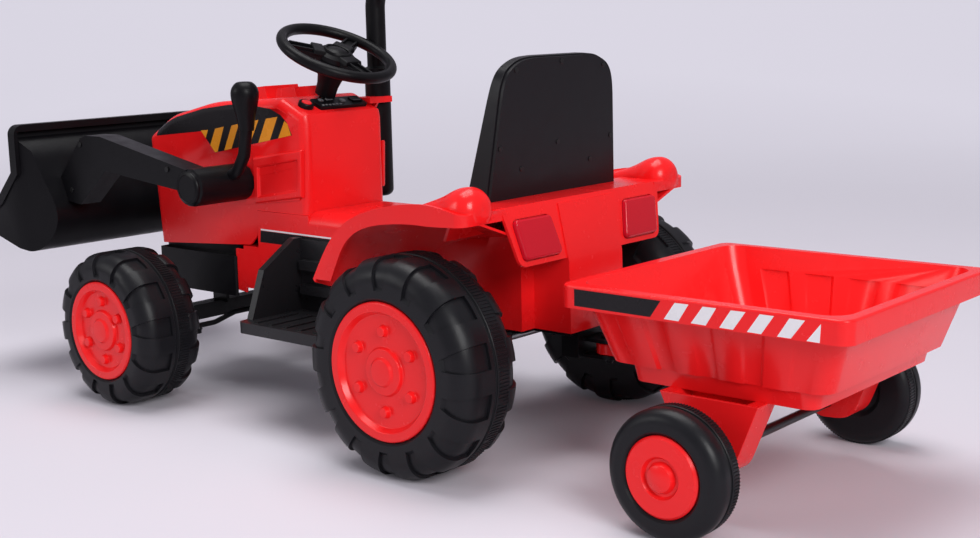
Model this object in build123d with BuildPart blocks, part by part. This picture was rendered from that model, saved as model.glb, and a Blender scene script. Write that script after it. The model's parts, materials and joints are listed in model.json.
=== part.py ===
from build123d import *
from math import cos, radians, sin
import os

os.makedirs("parts", exist_ok=True)

# Ride on tractor with a front loader and a trailer, millimetres, +Z up.
# The tractor looks towards -X, its left side is -Y, and the ground is z = 0.
# The origin lies on the ground under the middle of the whole rig.

# Driving dimensions
REAR_AXLE_X = 197.0
BODY_HALF = 84.0
HOOD_HALF = 82.0
WALL = 4.0
FENDER_HALF = 240.0
AXLE_R = 6.0
RUN = 0.06
GAP = 0.3

REAR_R, REAR_FACE, REAR_W, REAR_HUB = 140.0, 282.0, 110.0, 88.0
FRONT_R, FRONT_FACE, FRONT_W, FRONT_HUB = 115.5, 276.0, 108.0, 74.0
TRAILER_R, TRAILER_FACE, TRAILER_W, TRAILER_HUB = 74.5, 252.0, 50.0, 46.6


def sta(distance):
    """X of a station given as its distance behind the rear axle."""
    return REAR_AXLE_X + distance


REAR_AXLE = (sta(0), 0, REAR_R)
FRONT_AXLE = (sta(-592), 0, FRONT_R)
TRAILER_AXLE = (sta(387.3), 0, TRAILER_R)
LOADER_PIVOT = (sta(-478), 0, 327)
HITCH_X = sta(140)
KINGPIN_Y = 150.0

# The steering axis leans back from the vertical by this angle
LEAN = 25.5
WHEEL_CENTRE = Vector(sta(-349.9), 0, 515.8)
STEER_UP = Vector(sin(radians(LEAN)), 0, cos(radians(LEAN)))
STEER_BACK = Vector(cos(radians(LEAN)), 0, -sin(radians(LEAN)))
CRANK = 52.9
ARM = 65.0


def down_column(distance):
    """Point on the steering axis, that far below the steering wheel."""
    return WHEEL_CENTRE - STEER_UP * distance


def side(y=0.0):
    """Upright plane along the tractor at this y, local x = X and local y = Z."""
    return Plane.XZ.offset(-y)


def axle_plane(centre):
    """Plane for half profiles of a wheel: local x is the radius, local y is Y."""
    return Plane(origin=centre, x_dir=(0, 0, 1), z_dir=(-1, 0, 0))


def steer_plane(distance):
    """Plane square to the steering axis, that far below the steering wheel."""
    return Plane(origin=down_column(distance), x_dir=STEER_BACK, z_dir=STEER_UP)


def y_axis(centre):
    return Axis(centre, (0, 1, 0))


def save(piece, label):
    piece.part.label = label
    export_step(piece.part, f"parts/{label}.step")


def save_right(piece, label):
    """Write the right-hand twin of a left-hand piece."""
    with BuildPart() as twin:
        mirror(piece.part, about=Plane.XZ)
    save(twin, label)


# Wheels: a blow moulded tyre that turns on the axle, and a red cap over its hub

SEAM_DEPTH, POCKET_DEPTH, HUB_DEPTH = 3.0, 4.0, 26.0


def make_pockets(centre, radius, outer, width, shoulder, lugs, turn):
    """Sunk fields between the raised blocks, wrapped round one shoulder of a tyre."""
    start = radius - shoulder - 9
    tread = outer + 0.42 * width
    floor = shoulder - POCKET_DEPTH
    bend = shoulder - floor * cos(radians(45))
    with BuildPart() as pockets:
        with BuildSketch(axle_plane(centre)):
            with BuildLine():
                Polyline((radius + 2, outer - 2), (start, outer - 2), (start, outer),
                         (start + POCKET_DEPTH, outer + POCKET_DEPTH), (radius - shoulder, outer + POCKET_DEPTH))
                ThreePointArc((radius - shoulder, outer + POCKET_DEPTH), (radius - bend, outer + bend),
                              (radius - POCKET_DEPTH, outer + shoulder))
                Polyline((radius - POCKET_DEPTH, outer + shoulder), (radius - POCKET_DEPTH, tread),
                         (radius + 2, tread), (radius + 2, outer - 2))
            make_face()
        revolve(axis=y_axis(centre))
        half = radians(90 / lugs)
        with BuildSketch(Plane(origin=(centre[0], outer - 5, centre[2]), x_dir=(0, 0, 1), z_dir=(0, 1, 0))):
            with PolarLocations(0, lugs, start_angle=turn):
                Polygon(((start - 2), -0.55 * start * half), ((radius + 5), -1.15 * radius * half),
                        ((radius + 5), 1.15 * radius * half), ((start - 2), 0.55 * start * half), align=None)
        extrude(amount=width, mode=Mode.INTERSECT)
    return pockets


def make_tyre(centre, radius, face, width, hub, shoulder, lugs):
    outer, inner = -face, width - face
    middle = (outer + inner) / 2
    recess = 18.0 if lugs else 6.0
    recess_r = 0.4 * radius
    bend = shoulder * (1 - cos(radians(45)))
    if lugs:
        near_side = make_pockets(centre, radius, outer, width, shoulder, lugs, 0)
        far_side = make_pockets(centre, radius, outer, width, shoulder, lugs, 180 / lugs)
    with BuildPart() as tyre:
        with BuildSketch(axle_plane(centre)):
            with BuildLine():
                Polyline((AXLE_R + RUN, outer + HUB_DEPTH), (hub + 0.8, outer + HUB_DEPTH), (hub + 0.8, outer + 3),
                         (hub + 4, outer), (radius - shoulder, outer))
                ThreePointArc((radius - shoulder, outer), (radius - bend, outer + bend), (radius, outer + shoulder))
                Polyline((radius, outer + shoulder), (radius, middle - 4), (radius - SEAM_DEPTH, middle - 1.5),
                         (radius - SEAM_DEPTH, middle + 1.5), (radius, middle + 4), (radius, inner - shoulder))
                ThreePointArc((radius, inner - shoulder), (radius - bend, inner - bend), (radius - shoulder, inner))
                Polyline((radius - shoulder, inner), (recess_r + 6, inner), (recess_r, inner - recess),
                         (AXLE_R + RUN, inner - recess), (AXLE_R + RUN, outer + HUB_DEPTH))
            make_face()
        revolve(axis=y_axis(centre))
        if lugs:
            add(near_side.part, mode=Mode.SUBTRACT)
            mirror(far_side.part, about=Plane(origin=(0, middle, 0), z_dir=(0, 1, 0)), mode=Mode.SUBTRACT)
    return tyre


def make_hubcap(centre, face, hub):
    """Red cap: flat outer ring, dished web, six round bosses and a stepped dome."""
    outer, floor = -face, 26.0 - face
    dish = outer + 8
    with BuildPart() as cap:
        with BuildSketch(axle_plane(centre)):
            with BuildLine():
                Polyline((hub, floor), (hub, outer + 2), (hub - 2, outer), (hub - 12, outer), (hub - 17, dish),
                         (31, dish), (29, outer + 3), (19, outer + 2.5), (16, outer - 1), (0, outer - 2),
                         (0, outer + 1.5), (14, outer + 2.5), (25, outer + 6), (28, dish + 3), (hub - 19, dish + 3),
                         (hub - 13, outer + 3), (hub - 3, outer + 3), (hub - 3, floor), (hub, floor))
            make_face()
        revolve(axis=y_axis(centre))
        with BuildSketch(Plane(origin=(centre[0], dish + 1, centre[2]), x_dir=(0, 0, 1), z_dir=(0, -1, 0))):
            with PolarLocations((hub - 17 + 31) / 2, 6):
                Circle(8)
        extrude(amount=8, taper=12)
    return cap


def make_plain_cap(centre, face, hub):
    """Red trailer cap: a low disc with a ring groove round a centre dome."""
    outer, floor = -face, 26.0 - face
    with BuildPart() as cap:
        with BuildSketch(axle_plane(centre)):
            with BuildLine():
                Polyline((hub, floor), (hub, outer + 2), (hub - 3, outer - 1), (24, outer - 1.5), (21, outer + 3),
                         (18, outer + 3), (15, outer - 3))
                ThreePointArc((15, outer - 3), (8, outer - 5.3), (2, outer - 6))
                Polyline((2, outer - 6), (0, outer - 6), (0, outer - 2), (12, outer), (16, outer + 6), (24, outer + 6),
                         (27, outer + 2), (hub - 3, outer + 2), (hub - 3, floor), (hub, floor))
            make_face()
        revolve(axis=y_axis(centre))
    return cap


WHEELS = (
    ("rear", REAR_AXLE, REAR_R, REAR_FACE, REAR_W, REAR_HUB, 30.0, 14),
    ("front", FRONT_AXLE, FRONT_R, FRONT_FACE, FRONT_W, FRONT_HUB, 26.0, 13),
    ("trailer", TRAILER_AXLE, TRAILER_R, TRAILER_FACE, TRAILER_W, TRAILER_HUB, 16.0, 0),
)
for name, centre, radius, face, width, hub, shoulder, lugs in WHEELS:
    tyre = make_tyre(centre, radius, face, width, hub, shoulder, lugs)
    save(tyre, f"{name}_tyre_left")
    save_right(tyre, f"{name}_tyre_right")
    cap = make_hubcap(centre, face, hub) if lugs else make_plain_cap(centre, face, hub)
    save(cap, f"{name}_hubcap_left")
    save_right(cap, f"{name}_hubcap_right")

# Rear axle rod, fixed in the underbody, with a nut and washer outside each wheel
with BuildPart() as rear_axle:
    with BuildSketch(side(270)):
        with Locations((REAR_AXLE[0], REAR_AXLE[2])):
            Circle(AXLE_R)
    extrude(amount=540)
save(rear_axle, "rear_axle")

NUT_Y = REAR_FACE - 26 + GAP
with BuildPart() as axle_nuts:
    for y in (-NUT_Y, NUT_Y + 9):
        with BuildSketch(side(y)):
            with Locations((REAR_AXLE[0], REAR_AXLE[2])):
                RegularPolygon(11, 6)
                Circle(AXLE_R + 0.02, mode=Mode.SUBTRACT)
        extrude(amount=9)
save(axle_nuts, "axle_nuts")

# Red body moulding: tunnel, seat deck, fenders with humps, and the slanted rear panel
BODY_FRONT, BODY_BACK, TUNNEL_BACK = sta(-484), sta(102), sta(62)
HOOD_SEAM_X, DASH_X = sta(-449), sta(-338)
BODY_FLOOR, NOSE_Z, SEAM_Z, LEG_Z, DECK_Z = 163.0, 228.0, 284.0, 290.0, 336.0
SHOULDER_R, SPINE_HALF = 22.0, 58.0
SEAT_BACK, DECK_FRONT = sta(14), sta(34)
REAR_PANEL = Plane(origin=(BODY_BACK, 0, 330), x_dir=(0, 1, 0), z_dir=(73, 0, 16))


def tunnel_block(inset):
    """Tunnel, the box under the hood and the spine behind the deck, moved inwards by the inset."""
    dash_end = DASH_X + 2 + 2 * inset
    with BuildPart() as block:
        with BuildSketch(Plane.XZ):
            Polygon((DASH_X + 1 + inset, BODY_FLOOR - inset), (DASH_X + 1 + inset, LEG_Z - inset),
                    (SEAT_BACK, LEG_Z - inset), (DECK_FRONT, DECK_Z - inset), (TUNNEL_BACK - inset, DECK_Z - inset),
                    (TUNNEL_BACK - inset, BODY_FLOOR - inset), align=None)
        extrude(amount=BODY_HALF - inset, both=True)
        shoulders = block.edges().filter_by(Axis.X).filter_by_position(Axis.Z, LEG_Z - inset - 1, LEG_Z - inset + 1)
        fillet(shoulders, SHOULDER_R - inset)
        with BuildSketch(Plane.XZ):
            Polygon((BODY_FRONT - inset, BODY_FLOOR - inset), (BODY_FRONT - inset, NOSE_Z - inset),
                    (HOOD_SEAM_X + inset, NOSE_Z - inset), (HOOD_SEAM_X + inset, SEAM_Z - inset),
                    (dash_end, SEAM_Z - inset), (dash_end, BODY_FLOOR - inset), align=None)
        extrude(amount=BODY_HALF - inset, both=True)
        with BuildSketch(Plane.XZ):
            Polygon((sta(50), BODY_FLOOR - inset), (sta(50), 330 - inset), (sta(103.5) - inset, 330 - inset),
                    (sta(120) - inset, 257), (sta(122) - inset, BODY_FLOOR - inset), align=None)
        extrude(amount=SPINE_HALF - inset, both=True)
    return block.part


# The fender's crest and the lower edge of its lip in side view, and how fast its top falls inwards
CREST = ((sta(-160), 234), (sta(-112), 301), (sta(-40), 334.5), (sta(31), 344.5), (sta(106), 334))
LIP_EDGE = ((sta(-127), 234), (sta(-95), 289), (sta(-40), 313.5), (sta(30), 319), (sta(106), 321))
INWARD_FALL = 0.36
FENDER_FRONT, FENDER_CORNER = sta(-190), 16.0


def crest(drop):
    """Crest line of the fender, moved down and back by the drop."""
    Spline(*[(x + 0.8 * drop, z - drop) for x, z in CREST], tangents=((0.5, 0.86), (1, -0.2)))


def fender_plan(inset, mode=Mode.ADD):
    """Plan view of the left fender with its rear corner rounded, moved inwards by the inset."""
    with Locations(((BODY_BACK + FENDER_FRONT) / 2, -FENDER_HALF / 2 - 30)):
        RectangleRounded(BODY_BACK - FENDER_FRONT - 2 * inset, FENDER_HALF - 60 - 2 * inset, FENDER_CORNER - inset,
                         mode=mode)


with BuildPart() as fender_top:
    with BuildSketch(side(-FENDER_HALF)):
        with BuildLine():
            crest(0)
            crest(WALL)
            Line(CREST[0], (CREST[0][0] + 0.8 * WALL, CREST[0][1] - WALL))
            Line(CREST[-1], (CREST[-1][0] + 0.8 * WALL, CREST[-1][1] - WALL))
        make_face()
    extrude(amount=(FENDER_HALF - BODY_HALF + 2) * (1 + INWARD_FALL**2) ** 0.5, dir=(0, 1, -INWARD_FALL))
    with BuildSketch(Plane.XY.offset(150)):
        fender_plan(0)
    extrude(amount=250, mode=Mode.INTERSECT)

with BuildPart() as fender_lip:
    with BuildSketch(side(-FENDER_HALF)):
        with BuildLine():
            crest(0)
            Spline(*LIP_EDGE, tangents=((0.45, 0.9), (1, 0.05)))
            Line(CREST[0], LIP_EDGE[0])
            Line(CREST[-1], LIP_EDGE[-1])
        make_face()
    extrude(amount=-80)
    with BuildSketch(Plane.XY.offset(150)):
        fender_plan(0)
        fender_plan(WALL, mode=Mode.SUBTRACT)
    extrude(amount=250, mode=Mode.INTERSECT)

# Hump beside the backrest: a bullet shape that rises towards the back, lying on a tilted axis
HUMP_Y, HUMP_FRONT, HUMP_PEAK, HUMP_BACK = -203.0, sta(-30), sta(84), sta(104)
HUMP_LOW, HUMP_HIGH, HUMP_TOP = 326.0, 338.0, 365.0


def hump_shape(inset):
    """The hump with its skin moved inwards by the inset, cut off under the fender's top."""
    start, end = (HUMP_FRONT + 6 * inset, HUMP_LOW), (HUMP_BACK - inset, HUMP_HIGH)
    with BuildPart() as hump:
        with BuildSketch(side(HUMP_Y)):
            with BuildLine():
                Spline((start[0], start[1] + 1.5), (sta(12) + 3 * inset, 341 - inset), (sta(48), 354 - inset),
                       (HUMP_PEAK, HUMP_TOP - inset), tangents=((1, 0.3), (1, 0)))
                ThreePointArc((HUMP_PEAK, HUMP_TOP - inset), (sta(98) - 0.7 * inset, 358 - 0.7 * inset),
                              (HUMP_BACK - inset, HUMP_HIGH + 1.5))
                Polyline((HUMP_BACK - inset, HUMP_HIGH + 1.5), end, start, (start[0], start[1] + 1.5))
            make_face()
        revolve(axis=Axis((start[0], HUMP_Y, start[1]), (end[0] - start[0], 0, end[1] - start[1])))
        split(bisect_by=Plane.XY.offset(323 - inset), keep=Keep.TOP)
    return hump.part


def lamp_outline(hand, inset):
    """Round-cornered outline of a tail lamp on the rear panel, moved inwards by the inset."""
    corners = [(79.7 + inset, -10 - inset), (66.8 + inset, -64 + inset), (143 - inset, -64 + inset),
               (153.3 - inset, -10 - inset)]
    FilletPolyline(*[(hand * across, up) for across, up in corners][::hand], radius=8 - inset, close=True)


tunnel_core = tunnel_block(WALL)
tunnel = tunnel_block(0)
hump, hump_core = hump_shape(0), hump_shape(WALL)
with BuildPart() as body_shell:
    add(tunnel)
    # Deck behind the seat, with the wall that carries its front edge
    with BuildSketch(Plane.XZ):
        Polygon((SEAT_BACK, LEG_Z), (DECK_FRONT, DECK_Z), (sta(100.5), DECK_Z), (sta(100.5), DECK_Z - WALL),
                (DECK_FRONT + 2.5, DECK_Z - WALL), (SEAT_BACK + 4.5, LEG_Z), align=None)
    extrude(amount=178, both=True)
    for handed in (fender_top.part, fender_lip.part, hump):
        add(handed)
        add(mirror(handed, about=Plane.XZ, mode=Mode.PRIVATE))
    for handed in (tunnel_core, hump_core, mirror(hump_core, about=Plane.XZ, mode=Mode.PRIVATE)):
        add(handed, mode=Mode.SUBTRACT)
    # Rear panel with its two lamp wings, slanted like the spine's back
    with BuildSketch(REAR_PANEL):
        with Locations((-165, 3), (165, 3)):
            Circle(3)
        with Locations((-139, -56), (139, -56)):
            Circle(14)
        make_hull()
    extrude(amount=-WALL)
    # Lamp pockets, and the notch for the steering shaft and its lower bearing
    for hand in (-1, 1):
        with BuildSketch(REAR_PANEL):
            with BuildLine():
                lamp_outline(hand, 0)
            make_face()
        extrude(amount=-2.5, mode=Mode.SUBTRACT)
    with Locations((sta(-476), 0, 197)):
        Box(40, 48, 76, mode=Mode.SUBTRACT)
save(body_shell, "body_shell")

# Tail lamps: clear red lenses in the pockets of the rear panel
with BuildPart() as tail_lamp_lenses:
    for hand in (-1, 1):
        with BuildSketch(REAR_PANEL.offset(-2.4)):
            with BuildLine():
                lamp_outline(hand, 0.5)
            make_face()
        extrude(amount=8.4, taper=10)
save(tail_lamp_lenses, "tail_lamp_lenses")

# Underbody pan with the rear axle blocks and the ears of the hitch
PAN_TOP, PAN_BACK = 166.0, TUNNEL_BACK - WALL - 1
EAR_LOW, EAR_HIGH, EAR_T = 124.0, 145.3, 5.0
with BuildPart() as underbody_pan:
    with BuildSketch(Plane.XY.offset(PAN_TOP - 8)):
        with Locations(((sta(-455) + PAN_BACK) / 2, 0)):
            RectangleRounded(PAN_BACK - sta(-455), 2 * (BODY_HALF - WALL - 1), 8)
        with Locations(((PAN_BACK + sta(116)) / 2 - 10, 0)):
            Rectangle(sta(116) - PAN_BACK + 20, 2 * (SPINE_HALF - WALL - 1))
    extrude(amount=8)
    for hand in (-1, 1):
        with BuildSketch(side(hand * 64 + 14)):
            with BuildLine():
                Polyline((sta(-22), PAN_TOP - 8), (sta(22), PAN_TOP - 8), (sta(16), REAR_R))
                RadiusArc((sta(16), REAR_R), (sta(-16), REAR_R), 16)
                Line((sta(-16), REAR_R), (sta(-22), PAN_TOP - 8))
            make_face()
            with Locations((REAR_AXLE[0], REAR_AXLE[2])):
                Circle(AXLE_R + RUN, mode=Mode.SUBTRACT)
        extrude(amount=28)
    # Hitch: a web behind the axle with two ears
    with Locations((sta(98), 0, (EAR_LOW + PAN_TOP - 8) / 2)):
        Box(28, 60, PAN_TOP - 8 - EAR_LOW)
    for low in (EAR_LOW, EAR_HIGH):
        with BuildSketch(Plane.XY.offset(low)):
            with Locations((HITCH_X, 0)):
                Circle(19)
            with Locations(((sta(110) + HITCH_X) / 2, 0)):
                Rectangle(HITCH_X - sta(110), 38)
            with Locations((HITCH_X, 0)):
                Circle(5 + RUN, mode=Mode.SUBTRACT)
        extrude(amount=EAR_T)
save(underbody_pan, "underbody_pan")

# Hitch pin with a mushroom head, dropped in from above
with BuildPart() as hitch_pin:
    with BuildSketch(Plane.XZ):
        with BuildLine():
            Polyline((HITCH_X, 116), (HITCH_X + 4, 116), (HITCH_X + 5, 118), (HITCH_X + 5, EAR_HIGH + EAR_T),
                     (HITCH_X + 11, EAR_HIGH + EAR_T), (HITCH_X + 11, EAR_HIGH + EAR_T + 3),
                     (HITCH_X + 7, EAR_HIGH + EAR_T + 5), (HITCH_X + 7, 163))
            ThreePointArc((HITCH_X + 7, 163), (HITCH_X + 5.3, 167.4), (HITCH_X + 1.5, 170))
            Polyline((HITCH_X + 1.5, 170), (HITCH_X, 170), (HITCH_X, 116))
        make_face()
    revolve(axis=Axis((HITCH_X, 0, 0), (0, 0, 1)))
save(hitch_pin, "hitch_pin")

# Hood: one red shell with the dash face at its back, two raised blocks and embossed sides
HOOD_T = 4.0
CROWN_BACK = (sta(-392), 453.0)
DASH_EDGE = (sta(-341), 430.5)
DASH_SLOPE = Plane(origin=((CROWN_BACK[0] + DASH_EDGE[0]) / 2, 0, (CROWN_BACK[1] + DASH_EDGE[1]) / 2),
                   x_dir=(0, 1, 0), z_dir=(CROWN_BACK[1] - DASH_EDGE[1], 0, DASH_EDGE[0] - CROWN_BACK[0]))
START_SPOT = (-55, -4)


def hood_profile(inset):
    """Side outline of the hood, moved inwards by the inset; the cut runs on below the rim."""
    low = 20.0 if inset else 0.0
    crown = [(sta(-700) + inset, 306), (sta(-711) + inset, 386 - 0.3 * inset), (sta(-650) + 0.5 * inset, 421 - inset),
             (sta(-548), 444 - inset), (CROWN_BACK[0] - 0.3 * inset, CROWN_BACK[1] - inset),
             (DASH_EDGE[0] - inset, DASH_EDGE[1] - inset)]
    FilletPolyline(*crown, radius=(14, 110, 300, 12))
    Polyline(crown[-1], (DASH_X - inset, 418), (DASH_X - inset, SEAM_Z - low), (sta(-449) - inset, SEAM_Z - low),
             (sta(-452) - inset, 246 - low), (sta(-470), 230 - low), (sta(-694) + inset, 215 - low), crown[0])


with BuildPart() as hood_block:
    with BuildSketch(Plane.XZ):
        with BuildLine():
            hood_profile(0)
        make_face()
    extrude(amount=HOOD_HALF, both=True)
    rims = hood_block.edges().filter_by(lambda edge: abs(edge.center().Y) > HOOD_HALF - 0.01)
    fillet(rims.filter_by(lambda edge: edge.center().Z > 300), 15)

with BuildPart() as hood:
    add(hood_block.part)
    with BuildSketch(Plane.XZ):
        with BuildLine():
            hood_profile(HOOD_T)
        make_face()
    extrude(amount=HOOD_HALF - 9, both=True, mode=Mode.SUBTRACT)
    with BuildSketch(Plane.XZ):
        Polygon((sta(-690), 190), (sta(-697), 306), (sta(-700), 370), (sta(-560), 400), (sta(-346), 400),
                (sta(-346), 260), (sta(-456), 260), (sta(-456), 190), align=None)
    extrude(amount=HOOD_HALF - HOOD_T, both=True, mode=Mode.SUBTRACT)
    # Raised blocks on the crown
    for front, back in ((-522, -470), (-455, -403)):
        with BuildSketch(side(34)):
            Polygon((sta(front), 444), (sta(front + 8), 463), (sta(back - 6), 467), (sta(back), 446), align=None)
        extrude(amount=68)
    # Embossed frame on each side
    for hand in (-1, 1):
        with BuildSketch(side(hand * HOOD_HALF)):
            Polygon((sta(-451), 349), (sta(-352), 368), (sta(-352), 306), (sta(-476), 291), align=None)
            Polygon((sta(-438), 337), (sta(-366), 352), (sta(-366), 318), (sta(-452), 306), align=None,
                    mode=Mode.SUBTRACT)
        extrude(amount=2.5 * -hand)
    # Collar round the start button
    with BuildSketch(DASH_SLOPE):
        with Locations(START_SPOT):
            Circle(11)
            Circle(8, mode=Mode.SUBTRACT)
    extrude(amount=6)
    # Bores for the loader shaft and the steering neck, and the grille window
    with BuildSketch(side(HOOD_HALF + 10)):
        with Locations((LOADER_PIVOT[0], LOADER_PIVOT[2])):
            Circle(7 + RUN)
    extrude(amount=2 * HOOD_HALF + 20, mode=Mode.SUBTRACT)
    with BuildSketch(steer_plane(90)):
        Circle(8)
    extrude(amount=40, mode=Mode.SUBTRACT)
    with BuildSketch(Plane(origin=(sta(-720), 0, 0), x_dir=(0, -1, 0), z_dir=(-1, 0, 0))):
        with Locations((0, 295)):
            RectangleRounded(124, 130, 12)
    extrude(amount=-40, mode=Mode.SUBTRACT)
save(hood, "hood")

# Front grille with slats, set in the hood's window, and its two headlamp lenses
GRILLE_X = sta(-703)
with BuildPart() as front_grille:
    with BuildSketch(Plane(origin=(GRILLE_X, 0, 0), x_dir=(0, -1, 0), z_dir=(-1, 0, 0))):
        with Locations((0, 295)):
            RectangleRounded(123, 129, 11.5)
        with Locations((0, 303), (0, 287), (0, 271), (0, 255)):
            SlotOverall(96, 8, mode=Mode.SUBTRACT)
    extrude(amount=-8)
    with BuildSketch(Plane(origin=(GRILLE_X, 0, 0), x_dir=(0, -1, 0), z_dir=(-1, 0, 0))):
        with Locations((-36, 334), (36, 334)):
            RectangleRounded(42, 28, 8)
    extrude(amount=-4, mode=Mode.SUBTRACT)
save(front_grille, "front_grille")

with BuildPart() as headlamp_lenses:
    with BuildSketch(Plane(origin=(GRILLE_X + 4, 0, 0), x_dir=(0, -1, 0), z_dir=(-1, 0, 0))):
        with Locations((-36, 334), (36, 334)):
            RectangleRounded(41.4, 27.4, 7.7)
    extrude(amount=7, taper=12)
save(headlamp_lenses, "headlamp_lenses")

# Speaker behind the grille
with BuildPart() as speaker:
    with BuildSketch(Plane(origin=(GRILLE_X + 8, 0, 279), x_dir=(0, -1, 0), z_dir=(1, 0, 0))):
        Circle(28)
    extrude(amount=6)
    with BuildSketch(Plane(origin=(GRILLE_X + 14, 0, 279), x_dir=(0, -1, 0), z_dir=(1, 0, 0))):
        Circle(25)
    extrude(amount=12, taper=30)
    with BuildSketch(Plane(origin=(GRILLE_X + 26, 0, 279), x_dir=(0, -1, 0), z_dir=(1, 0, 0))):
        Circle(16)
    extrude(amount=8)
save(speaker, "speaker")

# Switch panel on the sloped dash
SWITCH_ROW, ROCKER_Y, ROCKER_HALF, PIN_RISE, PIN_R = -5.0, 42.0, 8.8, 3.5, 1.0


def rocker_plane(across, rise):
    """Plane square to the rocker's pins, at a place across the dash and a height over it."""
    return Plane(origin=DASH_SLOPE.from_local_coords((across, SWITCH_ROW, rise)), x_dir=DASH_SLOPE.y_dir,
                 z_dir=(0, 1, 0))


with BuildPart() as switch_panel:
    with BuildSketch(DASH_SLOPE.offset(0.02)):
        with Locations((10, SWITCH_ROW)):
            RectangleRounded(96, 28, 4)
        with Locations((ROCKER_Y, SWITCH_ROW)):
            Rectangle(2 * ROCKER_HALF + 1, 14.6, mode=Mode.SUBTRACT)
        with Locations((16, SWITCH_ROW)):
            Circle(5.3, mode=Mode.SUBTRACT)
    extrude(amount=5)
    with BuildSketch(rocker_plane(ROCKER_Y - ROCKER_HALF - 2, PIN_RISE)):
        Circle(PIN_R + RUN)
    extrude(amount=2 * ROCKER_HALF + 4, mode=Mode.SUBTRACT)
save(switch_panel, "switch_panel")

# Rocker switch for forwards and backwards, rocking about a line across its middle
with BuildPart() as direction_rocker:
    with BuildSketch(rocker_plane(ROCKER_Y - ROCKER_HALF, 5.5)):
        with BuildLine():
            Polyline((-6.6, 0), (-6.6, 2.6), (0, 1.2), (6.6, 2.6), (6.6, 0))
            RadiusArc((6.6, 0), (-6.6, 0), 8)
        make_face()
    extrude(amount=2 * ROCKER_HALF)
    with BuildSketch(rocker_plane(ROCKER_Y - ROCKER_HALF - 1.6, PIN_RISE)):
        Circle(PIN_R)
    extrude(amount=2 * ROCKER_HALF + 3.2)
save(direction_rocker, "direction_rocker")

# Music button: a round cap that travels into the switch panel
with BuildPart() as music_button:
    with BuildSketch(DASH_SLOPE.offset(2.5)):
        with Locations((16, SWITCH_ROW)):
            Circle(5)
    extrude(amount=4.7)
    fillet(music_button.edges().group_by(Axis.Z)[-1], 0.8)
save(music_button, "music_button")

# Start button: a round cap in the hood's collar
with BuildPart() as start_button:
    with BuildSketch(DASH_SLOPE.offset(2.6)):
        with Locations(START_SPOT):
            Circle(7.6)
    extrude(amount=5.4)
save(start_button, "start_button")

# Exhaust stack beside the hood, held by a foot low down and a red bracket near the top
STACK_X, STACK_Y = sta(-372), 105.0
with BuildPart() as exhaust_stack:
    with BuildSketch(Plane.XZ.offset(-STACK_Y)):
        with BuildLine():
            Line((STACK_X, 292), (STACK_X + 9, 292))
            RadiusArc((STACK_X + 9, 292), (STACK_X + 19.5, 303), -11)
            Polyline((STACK_X + 19.5, 303), (STACK_X + 19.5, 478), (STACK_X + 21, 480), (STACK_X + 21, 489),
                     (STACK_X + 15, 492), (STACK_X + 15, 578), (STACK_X, 578), (STACK_X, 292))
        make_face()
    revolve(axis=Axis((STACK_X, STACK_Y, 0), (0, 0, 1)))
    # The tip bends back and is cut off flat
    with BuildSketch(Plane.XY.offset(578)):
        with Locations((STACK_X, STACK_Y)):
            Circle(15)
    revolve(axis=Axis((STACK_X + 60, STACK_Y, 578), (0, 1, 0)), revolution_arc=32)
    with BuildSketch(side(STACK_Y - 12)):
        with Locations((STACK_X, 330)):
            Rectangle(24, 30)
    extrude(amount=STACK_Y - 12 - HOOD_HALF)
    add(hood.part, mode=Mode.SUBTRACT)
save(exhaust_stack, "exhaust_stack")

with BuildPart() as exhaust_bracket:
    with BuildSketch(Plane.XY.offset(438)):
        with BuildLine():
            Polyline((sta(-381), 60), (sta(-345), 60), (sta(-345), 108), (sta(-351.5), 108), (sta(-352.5), 96),
                     (sta(-356), 91.4), (sta(-381), 86), (sta(-381), 60))
        make_face()
    extrude(amount=9)
    with BuildSketch(side(86)):
        Polygon((sta(-381), 438), (sta(-352), 438), (sta(-372), 408), (sta(-381), 408), align=None)
    extrude(amount=3.9)
    with BuildSketch(Plane.XY.offset(400)):
        with Locations((STACK_X, STACK_Y)):
            Circle(19.5)
    extrude(amount=60, mode=Mode.SUBTRACT)
    add(hood_block.part, mode=Mode.SUBTRACT)
save(exhaust_bracket, "exhaust_bracket")

# Front axle: a black cover under the hood, and a steel beam with a kingpin at each end
with BuildPart() as front_axle_housing:
    with Locations((sta(-594), 0, 179)):
        Box(188, 176, 62)
    with Locations((sta(-596), 0, 221)):
        Box(184, 146, 22)
    fillet(front_axle_housing.edges().filter_by(Axis.Z), 6)
    with Locations((sta(-590), 0, 174)):
        Box(188, 168, 60, mode=Mode.SUBTRACT)
    with Locations((sta(-595), 0, 214)):
        Box(170, 138, 26, mode=Mode.SUBTRACT)
    # Tongue with the lower bearing of the steering shaft
    with Locations((sta(-495), 0, 205.5)):
        Box(34, 46, 8)
    with BuildSketch(steer_plane(300)):
        Circle(5 + RUN)
    extrude(amount=-90, mode=Mode.SUBTRACT)
save(front_axle_housing, "front_axle_housing")

BEAM_LOW, BEAM_HIGH = 103.5, 127.5
with BuildPart() as front_axle_beam:
    with BuildSketch(Plane.XY.offset(BEAM_LOW)):
        with Locations((FRONT_AXLE[0], 0)):
            SlotCenterToCenter(2 * KINGPIN_Y, 24, rotation=90)
    extrude(amount=BEAM_HIGH - BEAM_LOW)
    with Locations((FRONT_AXLE[0], -45, 163.5), (FRONT_AXLE[0], 45, 163.5)):
        Box(34, 5, 81)
    for hand in (-1, 1):
        with BuildSketch(Plane.XY.offset(92)):
            with Locations((FRONT_AXLE[0], hand * KINGPIN_Y)):
                Circle(5)
        extrude(amount=48)
        with BuildSketch(Plane.XY.offset(134)):
            with Locations((FRONT_AXLE[0], hand * KINGPIN_Y)):
                Circle(8)
        extrude(amount=6)
save(front_axle_beam, "front_axle_beam")

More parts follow.
